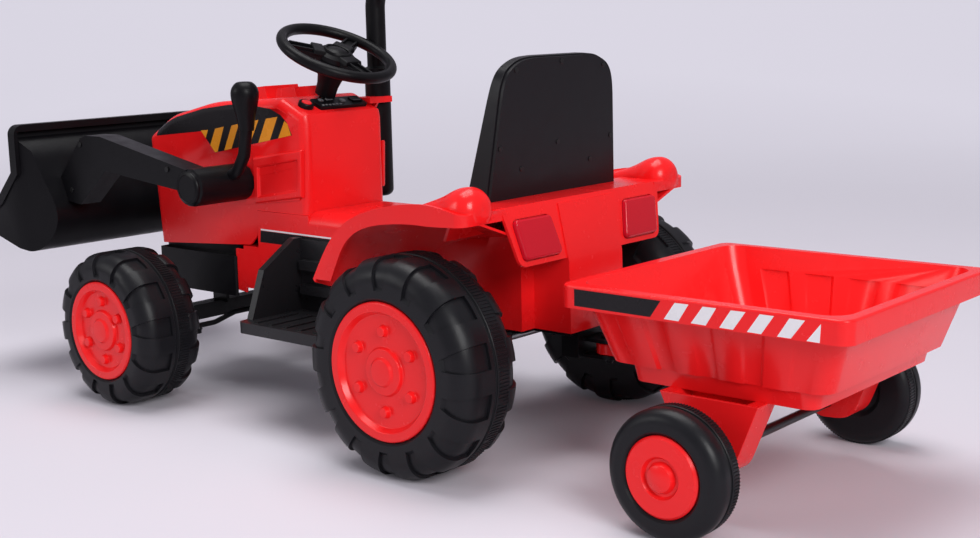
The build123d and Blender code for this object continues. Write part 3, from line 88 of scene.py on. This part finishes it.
# Azimuth, elevation and roll of the camera. The sweep is turned to face it squarely.
azimuth, elevation, roll = (math.radians(angle) for angle in (40.57, 10.08, -1.24))
sweep_start, sweep_width = -9.0, 18.0
sweep_rise = ((-5.0, 0.0), (2.6, 0.0), (3.4, 0.06), (4.1, 0.3), (4.7, 0.8), (5.0, 1.6), (5.1, 5.0))
sweep = bmesh.new()
sweep_line = [sweep.verts.new((sweep_start, y, z)) for y, z in sweep_rise]
sweep_edges = [sweep.edges.new(pair) for pair in zip(sweep_line, sweep_line[1:])]
grown = bmesh.ops.extrude_edge_only(sweep, edges=sweep_edges)
bmesh.ops.translate(sweep, vec=(sweep_width, 0, 0), verts=new_corners(grown))
bmesh.ops.rotate(sweep, cent=(0, 0, 0), matrix=Matrix.Rotation(azimuth, 3, "Z"), verts=sweep.verts)
bmesh.ops.recalc_face_normals(sweep, faces=sweep.faces)
for panel in sweep.faces:
    panel.smooth = True
sweep_mesh = bpy.data.meshes.new("studio_sweep")
sweep.to_mesh(sweep_mesh)
sweep.free()
studio_sweep = bpy.data.objects.new("studio_sweep", sweep_mesh)
bpy.context.scene.collection.objects.link(studio_sweep)
sweep_mesh.materials.append(paper)

for lamp_name, place, aim, size, power in (
        ("softbox_above", (-0.2, 0.1, 3.2), (0.0, 0.0, 0.2), 2.2, 76),
        ("softbox_behind", (3.5, -1.7, 2.2), (0.1, 0.0, 0.3), 1.7, 100),
        ("softbox_front", (-2.6, -3.2, 1.9), (-0.2, 0.0, 0.3), 1.5, 26)):
    light = bpy.data.lights.new(lamp_name, "AREA")
    light.shape = "SQUARE"
    light.size = size
    light.energy = power
    lamp = bpy.data.objects.new(lamp_name, light)
    lamp.location = place
    lamp.rotation_euler = (Vector(aim) - Vector(place)).to_track_quat("-Z", "Y").to_euler()
    bpy.context.scene.collection.objects.link(lamp)

air = bpy.data.worlds.new("studio_air")
air.use_nodes = True
air.node_tree.nodes["Background"].inputs["Color"].default_value = (0.80, 0.79, 0.85, 1)
air.node_tree.nodes["Background"].inputs["Strength"].default_value = 0.42
bpy.context.scene.world = air
bpy.context.scene.view_settings.view_transform = "Standard"

level = Vector((math.cos(azimuth), math.sin(azimuth), 0))
back = Vector((math.sin(azimuth) * math.cos(elevation), -math.cos(azimuth) * math.cos(elevation),
               math.sin(elevation)))
upright = back.cross(level)
right = math.cos(roll) * level + math.sin(roll) * upright
up = -math.sin(roll) * level + math.cos(roll) * upright
camera_stand = (1.4186, -1.4992, 0.5715)
lens = bpy.data.cameras.new("studio_camera")
lens.sensor_width = 36.0
lens.lens = 53.25
camera = bpy.data.objects.new("studio_camera", lens)
camera.matrix_world = (Matrix.Translation(camera_stand)
                       @ Matrix((right, up, back)).transposed().to_4x4())
bpy.context.scene.collection.objects.link(camera)
bpy.context.scene.camera = camera

# The red body: one thin injection moulded shell in glossy plastic that makes the tunnel, the
# seat deck, both rear fenders with their humps and the slanted rear panel with its lamp pockets.
# Everything else on the tractor is screwed to it from below.
weld = 0.00001
both_sides = ((-1, "left"), (1, "right"))


def moulded_plastic(name, colour, shade, gloss, peel, relief, reflect=0.5, sheen=0.0):
    """Plastic whose tone and gloss drift a little over the part, with a fine moulded grain."""
    made = bpy.data.materials.new(name)
    made.use_nodes = True
    nodes, links = made.node_tree.nodes, made.node_tree.links
    surface = nodes["Principled BSDF"]
    surface.inputs["Specular IOR Level"].default_value = reflect
    surface.inputs["Coat Weight"].default_value = sheen
    surface.inputs["Coat Roughness"].default_value = 0.1
    where = nodes.new("ShaderNodeTexCoord")

    def cloud(scale, detail):
        noise = nodes.new("ShaderNodeTexNoise")
        noise.inputs["Scale"].default_value = scale
        noise.inputs["Detail"].default_value = detail
        links.new(where.outputs["Object"], noise.inputs["Vector"])
        return noise.outputs["Fac"]

    tone = nodes.new("ShaderNodeMix")
    tone.data_type = "RGBA"
    tone.inputs["A"].default_value = (*shade, 1)
    tone.inputs["B"].default_value = (*colour, 1)
    links.new(cloud(6.0, 5.0), tone.inputs["Factor"])
    links.new(tone.outputs["Result"], surface.inputs["Base Color"])
    polish = nodes.new("ShaderNodeMapRange")
    polish.inputs["From Min"].default_value = 0.3
    polish.inputs["From Max"].default_value = 0.7
    polish.inputs["To Min"].default_value = gloss[0]
    polish.inputs["To Max"].default_value = gloss[1]
    links.new(cloud(45.0, 6.0), polish.inputs["Value"])
    links.new(polish.outputs["Result"], surface.inputs["Roughness"])
    grain = nodes.new("ShaderNodeBump")
    grain.inputs["Strength"].default_value = relief
    grain.inputs["Distance"].default_value = 0.0004
    links.new(cloud(peel, 3.0), grain.inputs["Height"])
    links.new(grain.outputs["Normal"], surface.inputs["Normal"])
    return made


def body_of(node):
    bodies = frame["record"]["behaviour"]["bodies"]
    return next(body for body, members in bodies.items() if node in members)


def merged_copy(node):
    """The node's own facets, joined into one skin."""
    skin = bmesh.new()
    skin.from_mesh(frame["nodes"][node].data)
    bmesh.ops.remove_doubles(skin, verts=skin.verts, dist=weld)
    return skin


def join_flats(skin):
    """Facets that lie in one plane become one, so that only real edges are rounded."""
    bmesh.ops.dissolve_limit(skin, angle_limit=math.radians(0.6), verts=skin.verts, edges=skin.edges)


def place_piece(name, skin, finish, node, rim=0.0, sharp=32.0, replace=False):
    """Hang the skin in the scene as a piece that rides with the node's body."""
    for edge in skin.edges:
        edge.smooth = edge.calc_face_angle(3.0) < math.radians(sharp)
    for facet in skin.faces:
        facet.smooth = True
    mesh = bpy.data.meshes.new(name)
    skin.to_mesh(mesh)
    skin.free()
    mesh.materials.append(finish)
    piece = bpy.data.objects.new(name, mesh)
    bpy.context.scene.collection.objects.link(piece)
    if rim:
        rounding = piece.modifiers.new("rim", "BEVEL")
        rounding.width = rim
        rounding.segments = 2
        rounding.limit_method = "ANGLE"
        rounding.angle_limit = math.radians(sharp)
        rounding.harden_normals = True
    if replace:
        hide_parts(node)
    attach(piece, body_of(node))


def moulded(node, finish, rim=0.0008):
    """The node's own shape with its edges rounded over, in its finish."""
    skin = merged_copy(node)
    join_flats(skin)
    place_piece(node + "_moulding", skin, finish, node, rim, replace=True)


red_gloss = moulded_plastic(
    "red_gloss_plastic", colour=(0.90, 0.012, 0.014), shade=(0.83, 0.010, 0.012),
    gloss=(0.2, 0.29), peel=150.0, relief=0.08, reflect=0.3, sheen=0.06)
moulded("body_shell", red_gloss, rim=0.0016)

# The strip along each side of the tunnel: a printed film in black with a white line along
# its top edge, stuck on flat. The printed name is left off, so the black is bare.
rear_axle_x = 0.197
film_thickness = 0.0001


def station(x, y, z):
    """A point x millimetres behind the rear axle, y metres from the middle and z millimetres up."""
    return Vector((rear_axle_x + x / 1000, y, z / 1000))


def everything(skin):
    return skin.verts[:] + skin.edges[:] + skin.faces[:]


def film(name, node, corners, hand, finish, lift=0.00016, reach=0.05):
    """Film cut from the node's skin by a convex outline of (x, z) millimetres, lifted off it."""
    skin = merged_copy(node)
    skin.normal_update()
    hidden = [facet for facet in skin.faces
              if facet.normal.y * hand < 0.15 or facet.calc_center_median().y * hand < reach]
    bmesh.ops.delete(skin, geom=hidden, context="FACES")
    outline = [station(x, 0, z) for x, z in corners]
    middle = sum(outline, Vector()) / len(outline)
    for here, there in zip(outline, outline[1:] + outline[:1]):
        outwards = Vector((there.z - here.z, 0, here.x - there.x))
        if outwards.dot(here - middle) < 0:
            outwards.negate()
        bmesh.ops.bisect_plane(skin, geom=everything(skin), plane_co=here, plane_no=outwards,
                               clear_outer=True)
    skin.normal_update()
    for corner in skin.verts:
        corner.co += corner.normal * lift
    bmesh.ops.solidify(skin, geom=skin.faces[:], thickness=film_thickness)
    bmesh.ops.recalc_face_normals(skin, faces=skin.faces)
    place_piece(name, skin, finish, node)


film_black = moulded_plastic(
    "black_printed_film", colour=(0.012, 0.010, 0.012), shade=(0.016, 0.014, 0.016),
    gloss=(0.22, 0.3), peel=500.0, relief=0.04, reflect=0.15)
film_white = moulded_plastic(
    "white_printed_film", colour=(0.82, 0.80, 0.82), shade=(0.78, 0.76, 0.79),
    gloss=(0.24, 0.32), peel=500.0, relief=0.04, reflect=0.35)
strip_outline = [(-442, 254.4), (-288, 253.6), (-294.5, 237), (-444, 236.6)]
line_outline = [(-441.6, 257.2), (-287, 256.4), (-288, 254.0), (-442, 254.8)]
for hand, side_name in both_sides:
    film("body_strip_" + side_name, "body_shell", strip_outline, hand, film_black)
    film("body_strip_line_" + side_name, "body_shell", line_outline, hand, film_white)


# The front edge of each tunnel wall: a red web that runs on into the black axle cover and
# closes the gap between the two. It is part of the body's moulding.
def upright_plate(outline, inside, thick):
    """Plate along the tractor, from (x, z) millimetres, grown from inside away from the middle."""
    plate = bmesh.new()
    face = plate.faces.new([plate.verts.new(station(x, inside, z)) for x, z in outline])
    grown = bmesh.ops.extrude_face_region(plate, geom=[face])
    bmesh.ops.translate(plate, vec=(0, thick, 0), verts=new_corners(grown))
    bmesh.ops.recalc_face_normals(plate, faces=plate.faces)
    return plate


web_outline = [(-503, 157.5), (-503, 222), (-482, 222), (-482, 155)]
web_inside, web_thick = 0.0797, 0.0040
for hand, side_name in both_sides:
    web = upright_plate(web_outline, hand * web_inside, hand * web_thick)
    place_piece("body_web_" + side_name, web, red_gloss, "body_shell", rim=0.0008)

# The underbody pan: a ribbed black tray that closes the tunnel from below, with the blocks
# for the rear axle and the two ears of the hitch. Satin polypropylene, screwed up into the body.
black_satin = moulded_plastic(
    "black_satin_plastic", colour=(0.0040, 0.0038, 0.0048), shade=(0.0060, 0.0056, 0.0070),
    gloss=(0.3, 0.42), peel=900.0, relief=0.18, reflect=0.13)
moulded("underbody_pan", black_satin, rim=0.001)

# Front axle: a black cover screwed under the hood, over a bent steel beam with a kingpin at
# each end. Beam, knuckles and tie rod are painted black, and the column with its crank is plated.
moulded("front_axle_housing", black_satin, rim=0.0012)
dark_steel = moulded_plastic(
    "dark_plated_steel", colour=(0.060, 0.060, 0.064), shade=(0.045, 0.045, 0.048),
    gloss=(0.28, 0.4), peel=420.0, relief=0.12)
dark_steel.node_tree.nodes["Principled BSDF"].inputs["Metallic"].default_value = 0.85
moulded("steering_shaft", dark_steel, rim=0.0004)
black_paint = moulded_plastic(
    "black_painted_steel", colour=(0.005, 0.005, 0.006), shade=(0.008, 0.008, 0.009),
    gloss=(0.3, 0.42), peel=600.0, relief=0.15, reflect=0.18)
for node in ("front_axle_beam", "knuckle_left", "knuckle_right", "tie_rod"):
    moulded(node, black_paint, rim=0.0005)

# Rear axle: a steel rod through the pan, with a nut and washer outside each wheel. Both are
# zinc plated, and so is the loader's shaft further down.
zinc = moulded_plastic(
    "zinc_plated_steel", colour=(0.42, 0.42, 0.43), shade=(0.34, 0.34, 0.35),
    gloss=(0.24, 0.36), peel=380.0, relief=0.1)
zinc.node_tree.nodes["Principled BSDF"].inputs["Metallic"].default_value = 0.95
for node in ("rear_axle", "axle_nuts"):
    moulded(node, zinc, rim=0.0003)


# Wheels: hollow tyres blow moulded in black plastic, with a parting seam round the middle,
# sunk fields between the raised blocks, and a band of fine cross ribs beside the seam.
def turned(points, middle, axis, steps=48, closed=True):
    """Skin made by turning the outline once round the axis."""
    skin = bmesh.new()
    outline = [skin.verts.new(point) for point in points]
    ends = outline[1:] + outline[:1] if closed else outline[1:]
    lines = [skin.edges.new(pair) for pair in zip(outline, ends)]
    bmesh.ops.spin(skin, geom=outline + lines, cent=middle, axis=axis, dvec=(0, 0, 0),
                   angle=math.tau, steps=steps, use_merge=True)
    bmesh.ops.remove_doubles(skin, verts=skin.verts, dist=weld)
    return skin


wheel_line = (0, 1, 0)
band_depth, band_lip, hoop_root = 0.0014, 0.0006, 0.006
rib_tall, rib_top, rib_sink = 0.002, 0.55, 0.0013
bead_radius, bead_offset, bead_sink = 0.0011, 0.0032, 0.0013


def serrated_tyre(node, hub, radius, seam_y, band, ribs, rib_width, finish):
    """The tyre with its rib band: the skin is sunk there, and short ribs stand on a hoop in it."""
    hand = -1 if seam_y < 0 else 1
    hub_x, hub_z = hub[0], hub[2]
    low, high = sorted(seam_y - hand * offset for offset in band)
    sunk = radius - band_depth
    skin = merged_copy(node)
    for cut in (low, low - band_lip, high, high + band_lip):
        bmesh.ops.bisect_plane(skin, geom=everything(skin), plane_co=(0, cut, 0), plane_no=wheel_line)
    for corner in skin.verts:
        reach = math.hypot(corner.co.x - hub_x, corner.co.z - hub_z)
        if low - 0.00005 < corner.co.y < high + 0.00005 and reach > sunk:
            corner.co.x = hub_x + (corner.co.x - hub_x) * sunk / reach
            corner.co.z = hub_z + (corner.co.z - hub_z) * sunk / reach
    join_flats(skin)
    place_piece(node + "_shell", skin, finish, node, 0.0014, replace=True)

    section = ((low, radius - hoop_root), (low, sunk), (high, sunk), (high, radius - hoop_root))
    ring = turned([(hub_x, y, hub_z + reach) for y, reach in section], hub, wheel_line, steps=96)
    bmesh.ops.recalc_face_normals(ring, faces=ring.faces)
    place_piece(node + "_rib_hoop", ring, finish, node)

    ridges = bmesh.new()
    one = bmesh.ops.create_cube(ridges, size=1.0)["verts"]
    bmesh.ops.scale(ridges, vec=(rib_width, high - low - 2 * band_lip, rib_tall), verts=one)
    for corner in one:
        if corner.co.z > 0:
            corner.co.x *= rib_top
    bmesh.ops.translate(ridges, vec=(hub_x, (low + high) / 2, hub_z + radius - rib_sink), verts=one)
    bmesh.ops.spin(ridges, geom=everything(ridges), cent=hub, axis=wheel_line, dvec=(0, 0, 0),
                   angle=math.tau * (ribs - 1) / ribs, steps=ribs - 1, use_duplicate=True)
    bmesh.ops.recalc_face_normals(ridges, faces=ridges.faces)
    place_piece(node + "_ribs", ridges, finish, node)


def seam_beads(node, hub, radius, seam_y, finish):
    """The pair of thin beads where the two halves of the mould met."""
    beads = bmesh.new()
    for offset in (-bead_offset, bead_offset):
        loop = bmesh.ops.create_circle(beads, radius=bead_radius, segments=10)["verts"]
        bmesh.ops.rotate(beads, cent=(0, 0, 0), matrix=Matrix.Rotation(math.radians(90), 3, "Y"),
                         verts=loop)
        bmesh.ops.translate(beads, vec=(hub[0], seam_y + offset, hub[2] + radius - bead_sink),
                            verts=loop)
        hoop = list({edge for corner in loop for edge in corner.link_edges})
        bmesh.ops.spin(beads, geom=loop + hoop, cent=hub, axis=wheel_line, dvec=(0, 0, 0),
                       angle=math.tau, steps=120, use_merge=True)
    bmesh.ops.remove_doubles(beads, verts=beads.verts, dist=weld)
    bmesh.ops.recalc_face_normals(beads, faces=beads.faces)
    place_piece(node + "_seam", beads, finish, node)


tyre_black = moulded_plastic(
    "tyre_blow_moulding", colour=(0.0070, 0.0070, 0.0088), shade=(0.0105, 0.0102, 0.0125),
    gloss=(0.3, 0.42), peel=650.0, relief=0.22, reflect=0.2)
# Each wheel's axle behind the rear one, radius, seam, rib band beside it, and its ribs' number
# and width. A wheel's radius is also the height of its axle.
for wheel, behind, radius, seam, band, ribs, rib_width in (
        ("rear", 0.0, 0.140, 0.227, (0.0042, 0.0240), 190, 0.0026),
        ("front", -0.592, 0.1155, 0.222, (0.0042, 0.0240), 170, 0.0024),
        ("trailer", 0.3873, 0.0745, 0.227, (0.0050, 0.0170), 120, 0.0022)):
    hub = (rear_axle_x + behind, 0, radius)
    for hand, side_name in both_sides:
        tyre = wheel + "_tyre_" + side_name
        serrated_tyre(tyre, hub, radius, hand * seam, band, ribs, rib_width, tyre_black)
        seam_beads(tyre, hub, radius, hand * seam, tyre_black)

# Hubcaps: red caps pressed into the wheel recess, the large ones with a dished web and six
# round bosses round a stepped dome, and the trailer's with one ring groove round a button.
for wheel in ("rear", "front", "trailer"):
    for side_name in ("left", "right"):
        moulded(wheel + "_hubcap_" + side_name, red_gloss, rim=0.0013)

# Drive and battery, hidden in the body: a gearbox and a motor can beside each rear wheel,
# and a sealed battery with its two terminals standing on the pan.
for node in ("gearbox_left", "gearbox_right", "battery"):
    moulded(node, black_satin, rim=0.0008)
moulded("drive_motors", dark_steel, rim=0.0004)

# Side steps: black mouldings screwed to the tunnel, with a ribbed wall, a footplate and a
# gusset in front. The right one carries the base of the hinged accelerator pedal.
# The steps' black is painted lighter than the other black plastics: painted light standing in for
# lamplight that doesn't reach under the fenders.
painted_light_step_black = moulded_plastic(
    "step_black_plastic", colour=(0.0105, 0.0102, 0.0120), shade=(0.0140, 0.0135, 0.0155),
    gloss=(0.26, 0.38), peel=700.0, relief=0.2, reflect=0.3)
for node in ("left_step", "right_step", "accelerator_pedal"):
    moulded(node, painted_light_step_black, rim=0.0012)

# Seat: a low black base on the deck, and a backrest of two shells held by eight screws that
# sit in shallow sinks. The front shell's edge stands a little proud round the rear cover.
seat_black = moulded_plastic(
    "seat_satin_plastic", colour=(0.0070, 0.0064, 0.0082), shade=(0.0095, 0.0088, 0.0110),
    gloss=(0.3, 0.42), peel=1100.0, relief=0.18, reflect=0.18)
moulded("seat_base", seat_black, rim=0.002)
moulded("backrest_front_shell", seat_black, rim=0.0035)
moulded("backrest_rear_cover", seat_black, rim=0.0012)
screw_black = moulded_plastic(
    "blackened_screw", colour=(0.004, 0.004, 0.0045), shade=(0.006, 0.006, 0.0065),
    gloss=(0.3, 0.45), peel=500.0, relief=0.1, reflect=0.3)
moulded("backrest_screws", screw_black, rim=0.0005)

# Tail lamps: domed lenses in clear dark red, pressed into the pockets of the rear panel.
# Their rims are well rounded, and each lies nearly flush with its pocket.
lens_red = moulded_plastic(
    "tail_lens_red", colour=(0.56, 0.006, 0.020), shade=(0.50, 0.004, 0.016),
    gloss=(0.12, 0.18), peel=90.0, relief=0.03, reflect=0.25, sheen=0.08)
moulded("tail_lamp_lenses", lens_red, rim=0.0035)

# The hood: a glossy red shell over the front, open below, with the dash slope at its back and
# two raised blocks on its crown. A frame with a sunk field stands on each side of it.
moulded("hood", red_gloss, rim=0.0016)
frame_outline = [(-450, 364.5), (-341, 381), (-344, 310), (-450, 294.5)]
frame_inside, frame_foot = 0.0800, 0.0042
bevel_width, bevel_rise, frame_width = 0.0030, 0.0036, 0.0105
field_drop, field_slope, field_depth = 0.005, 0.0034, 0.0040
for hand, side_name in both_sides:
    plate = upright_plate(frame_outline, hand * frame_inside, hand * frame_foot)
    plate.faces.ensure_lookup_table()
    outer = max(plate.faces, key=lambda face: face.calc_center_median().y * hand)
    # The frame's edge slopes outwards, and its sunk field lies lower than the middle.
    bmesh.ops.inset_region(plate, faces=[outer], thickness=bevel_width, depth=bevel_rise)
    bmesh.ops.inset_region(plate, faces=[outer], thickness=frame_width, depth=0.0)
    for corner in outer.verts:
        if corner.co.z > 0.335:
            corner.co.z -= field_drop
    bmesh.ops.inset_region(plate, faces=[outer], thickness=field_slope, depth=-field_depth)
    bmesh.ops.recalc_face_normals(plate, faces=plate.faces)
    place_piece("hood_side_frame_" + side_name, plate, red_gloss, "hood", rim=0.0014)

# The hood's printed films: a long charcoal flash under the crown with slanted hazard stripes
# in orange, cut to the hood's side and smoothed on by hand. The printed name is left off.
film_orange = moulded_plastic(
    "orange_printed_film", colour=(0.88, 0.33, 0.022), shade=(0.82, 0.29, 0.018),
    gloss=(0.24, 0.32), peel=500.0, relief=0.04, reflect=0.2)
flash_nose = [(-685.6, 387.5), (-572.3, 398.7), (-569.3, 433.2), (-636.9, 418.4), (-679.1, 403),
              (-686.5, 395.6)]
flash_back = [(-572.3, 398.7), (-541.6, 367), (-364.9, 400.2), (-374.7, 418), (-387.8, 428.7),
              (-409.5, 437.2), (-437.8, 440.0), (-504.7, 441.0), (-569.3, 433.2)]
hazard_stripes = (
    [(-573.5, 399.8), (-562.5, 388.4), (-556.1, 401.5)],
    [(-552.3, 378.1), (-541.6, 367.4), (-535.7, 368.6), (-517.8, 407.6), (-538.6, 403.7)],
    [(-519.6, 371.4), (-502.3, 374.6), (-482.0, 413.4), (-499.5, 409.8)],
    [(-484.0, 378.0), (-459.5, 382.6), (-437.0, 420.4), (-462.0, 416.2)],
    [(-439.7, 386.3), (-413.5, 391.2), (-394.6, 426.2), (-420.2, 422.6)],
    [(-394.9, 394.6), (-366.8, 400.0), (-373.8, 416.6), (-380.0, 420.4)])
for hand, side_name in both_sides:
    film("hood_flash_nose_" + side_name, "hood", flash_nose, hand, film_black)
    film("hood_flash_" + side_name, "hood", flash_back, hand, film_black)
    for count, stripe in enumerate(hazard_stripes):
        film(f"hood_stripe_{count}_{side_name}", "hood", stripe, hand, film_orange, lift=0.0003)

# Front of the hood: a black grille with slats in the hood's window, two clear headlamp
# lenses snapped into it, and the round speaker of the music box behind the slats.
moulded("front_grille", black_satin, rim=0.0008)
lens_clear = moulded_plastic(
    "headlamp_clear", colour=(0.74, 0.77, 0.80), shade=(0.66, 0.69, 0.73),
    gloss=(0.06, 0.12), peel=120.0, relief=0.06, sheen=0.6)
moulded("headlamp_lenses", lens_clear, rim=0.002)
moulded("speaker", black_satin, rim=0.0006)

# Dash: a black switch panel screwed on the slope behind the hood's crown, with the direction
# rocker and the music button, and the red start button in its dark ring beside it.
for node in ("switch_panel", "direction_rocker"):
    moulded(node, black_satin, rim=0.0006)
button_grey = moulded_plastic(
    "button_grey_plastic", colour=(0.16, 0.16, 0.17), shade=(0.12, 0.12, 0.13),
    gloss=(0.3, 0.4), peel=300.0, relief=0.1, reflect=0.35)
moulded("music_button", button_grey, rim=0.0005)
moulded("start_button", red_gloss, rim=0.0008)
dash_across = Vector((0, 1, 0))
dash_out = Vector((22.5, 0, 51)).normalized()
dash_up = dash_out.cross(dash_across)
dash_middle = Vector((-0.1695, 0, 0.44175))
dash_turn = Matrix((dash_across, dash_up, dash_out)).transposed()


def dash_piece(name, skin, finish, across, upwards, rise, node, rim=0.0003):
    """Turn a piece made flat at the origin onto the dash slope, in millimetres across and up it."""
    bmesh.ops.rotate(skin, cent=(0, 0, 0), matrix=dash_turn, verts=skin.verts)
    bmesh.ops.translate(skin, vec=dash_middle + dash_across * across / 1000 + dash_up * upwards / 1000
                        + dash_out * rise / 1000, verts=skin.verts)
    bmesh.ops.recalc_face_normals(skin, faces=skin.faces)
    place_piece(name, skin, finish, node, rim)


def turned_flat(section):
    """Round piece made flat at the origin from the (radius, height) points of its section."""
    return turned([(reach, 0, rise) for reach, rise in section], (0, 0, 0), (0, 0, 1))


ring_section = ((0.0082, 0.0), (0.0082, 0.0068), (0.0094, 0.0074), (0.0108, 0.0070),
                (0.0116, 0.0058), (0.0116, 0.0))
dash_piece("start_ring", turned_flat(ring_section), black_satin, -55, -4, 0.05, "hood", rim=0.0)


def key_cap(wide, tall, rise):
    """A small key with drafted sides."""
    cap = bmesh.new()
    bmesh.ops.create_cube(cap, size=1.0)
    bmesh.ops.scale(cap, vec=(wide, tall, rise), verts=cap.verts)
    for corner in cap.verts:
        if corner.co.z > 0:
            corner.co.x *= 0.86
            corner.co.y *= 0.86
    return cap


for count, across in enumerate((-30, -23, -16, -9, -2, 5)):
    dash_piece(f"dash_key_{count}", key_cap(0.0042, 0.0030, 0.0014), button_grey, across, -14, 5.6,
               "switch_panel")
dash_piece("dash_slot", key_cap(0.0130, 0.0055, 0.0016), button_grey, -4, 3, 5.6, "switch_panel")
dash_piece("dash_dial", key_cap(0.0070, 0.0070, 0.0030), button_grey, -22, 1, 6.0, "switch_panel",
           rim=0.001)

# Steering wheel: one black moulding with a round rim, three flat spokes, a deep hub and a
# flared neck over the column, and the oval horn cap in a raised collar on the hub.
for node in ("steering_wheel", "horn_button"):
    moulded(node, black_satin, rim=0.001)
lean = math.radians(25.5)
wheel_middle = Vector((rear_axle_x - 0.3499, 0, 0.5158))
wheel_up = Vector((math.sin(lean), 0, math.cos(lean)))
wheel_back = Vector((math.cos(lean), 0, -math.sin(lean)))
wheel_turn = Matrix((wheel_back, wheel_up.cross(wheel_back), wheel_up)).transposed()


def wheel_piece(name, skin, angle=0, rim=0.0):
    """Turn a piece made flat at the origin to its place on the steering wheel."""
    bmesh.ops.rotate(skin, cent=(0, 0, 0), matrix=Matrix.Rotation(math.radians(angle), 3, "Z"),
                     verts=skin.verts)
    bmesh.ops.rotate(skin, cent=(0, 0, 0), matrix=wheel_turn, verts=skin.verts)
    bmesh.ops.translate(skin, vec=wheel_middle, verts=skin.verts)
    bmesh.ops.recalc_face_normals(skin, faces=skin.faces)
    place_piece(name, skin, black_satin, "steering_wheel", rim)


rail_middle, rail_offset = 0.052, 0.0078
pad_middle, pad_lift = 0.0295, 0.0005
for count, angle in enumerate((0, 120, 240)):
    for hand, side_name in both_sides:
        rail = key_cap(0.046, 0.0036, 0.0046)
        bmesh.ops.translate(rail, vec=(rail_middle, hand * rail_offset, 0.0), verts=rail.verts)
        wheel_piece(f"spoke_rail_{count}_{side_name}", rail, angle, rim=0.0006)
    pad = key_cap(0.020, 0.034, 0.0075)
    bmesh.ops.translate(pad, vec=(pad_middle, 0, pad_lift), verts=pad.verts)
    wheel_piece(f"hub_pad_{count}", pad, angle, rim=0.0015)
neck_section = ((0.012, -0.010), (0.0310, -0.010), (0.0300, -0.016), (0.0240, -0.028),
                (0.0188, -0.040), (0.0162, -0.052), (0.0156, -0.0676), (0.012, -0.0676))
wheel_piece("wheel_neck", turned_flat(neck_section))
horn_section = ((0.0168, 0.0), (0.0168, 0.0052), (0.0180, 0.0060), (0.0196, 0.0056),
                (0.0212, 0.0034), (0.0216, 0.0))
wheel_piece("horn_collar", turned_flat(horn_section))

# Exhaust stack: a black dummy pipe beside the hood, blow moulded, with a collar at its waist
# and a tip that bends back. A red bracket on the dash holds it near the top.
moulded("exhaust_stack", black_satin, rim=0.0015)
moulded("exhaust_bracket", red_gloss, rim=0.0012)

# Loader: two hollow black arms on a shaft through the hood, each with a cap on its drum's end,
# the bucket screwed to them, and a bent hand lever with a grip that springs from the left drum.
for node in ("loader_arm_left", "loader_arm_right"):
    moulded(node, black_satin, rim=0.0024)
pivot_x, pivot_z = -0.281, 0.327
cap_section = ((0.0, 0.1865), (0.0245, 0.1865), (0.0235, 0.1885), (0.0195, 0.1900),
               (0.0188, 0.1893), (0.0, 0.1890))
for hand, side_name in both_sides:
    drum_cap = turned([(pivot_x, hand * y, pivot_z + reach) for reach, y in cap_section],
                      (pivot_x, 0, pivot_z), wheel_line, closed=False)
    bmesh.ops.recalc_face_normals(drum_cap, faces=drum_cap.faces)
    place_piece("drum_cap_" + side_name, drum_cap, black_satin, "loader_arm_" + side_name)
moulded("lever_rod", black_satin, rim=0.001)
moulded("lever_grip", black_satin, rim=0.002)
moulded("bucket", black_satin, rim=0.0028)
moulded("bucket_bolts", screw_black, rim=0.0004)
moulded("loader_shaft", zinc, rim=0.0003)

# Trailer: a red tub with a flanged rim and drafted, panelled walls, on two wedge brackets with
# the axle through them. A ribbed tongue under it ends in the eye on the tractor's hitch pin.
for node in ("tub", "trailer_bracket_left", "trailer_bracket_right", "drawbar"):
    moulded(node, red_gloss, rim=0.0014)
moulded("trailer_axle", dark_steel, rim=0.0003)
moulded("hitch_pin", black_satin, rim=0.001)

# The tub's rim carries a printed film on both sides: a black field at the front, left bare,
# and slanted white stripes that end in a triangle. Only the rim's own outer face carries it.
rim_reach = 0.175
rim_field = [(223, 252.8), (342.5, 252.3), (328.6, 232.4), (223, 233)]
rim_stripes = (
    [(361, 252.2), (379, 252.4), (366, 232.2), (347, 232.4)],
    [(397, 252.2), (414, 252.4), (401, 231.8), (382, 232)],
    [(432, 252.2), (450, 252.4), (435, 231.4), (418, 231.6)],
    [(467, 252.2), (484, 252.2), (469, 231), (452, 231.2)],
    [(502, 252.0), (520, 251.8), (504, 230.8), (488, 230.9)],
    [(538, 250.5), (537, 230.4), (522, 230.6)])
for hand, side_name in both_sides:
    film("tub_field_" + side_name, "tub", rim_field, hand, film_black, reach=rim_reach)
    for count, stripe in enumerate(rim_stripes):
        film(f"tub_stripe_{count}_{side_name}", "tub", stripe, hand, film_white, reach=rim_reach)
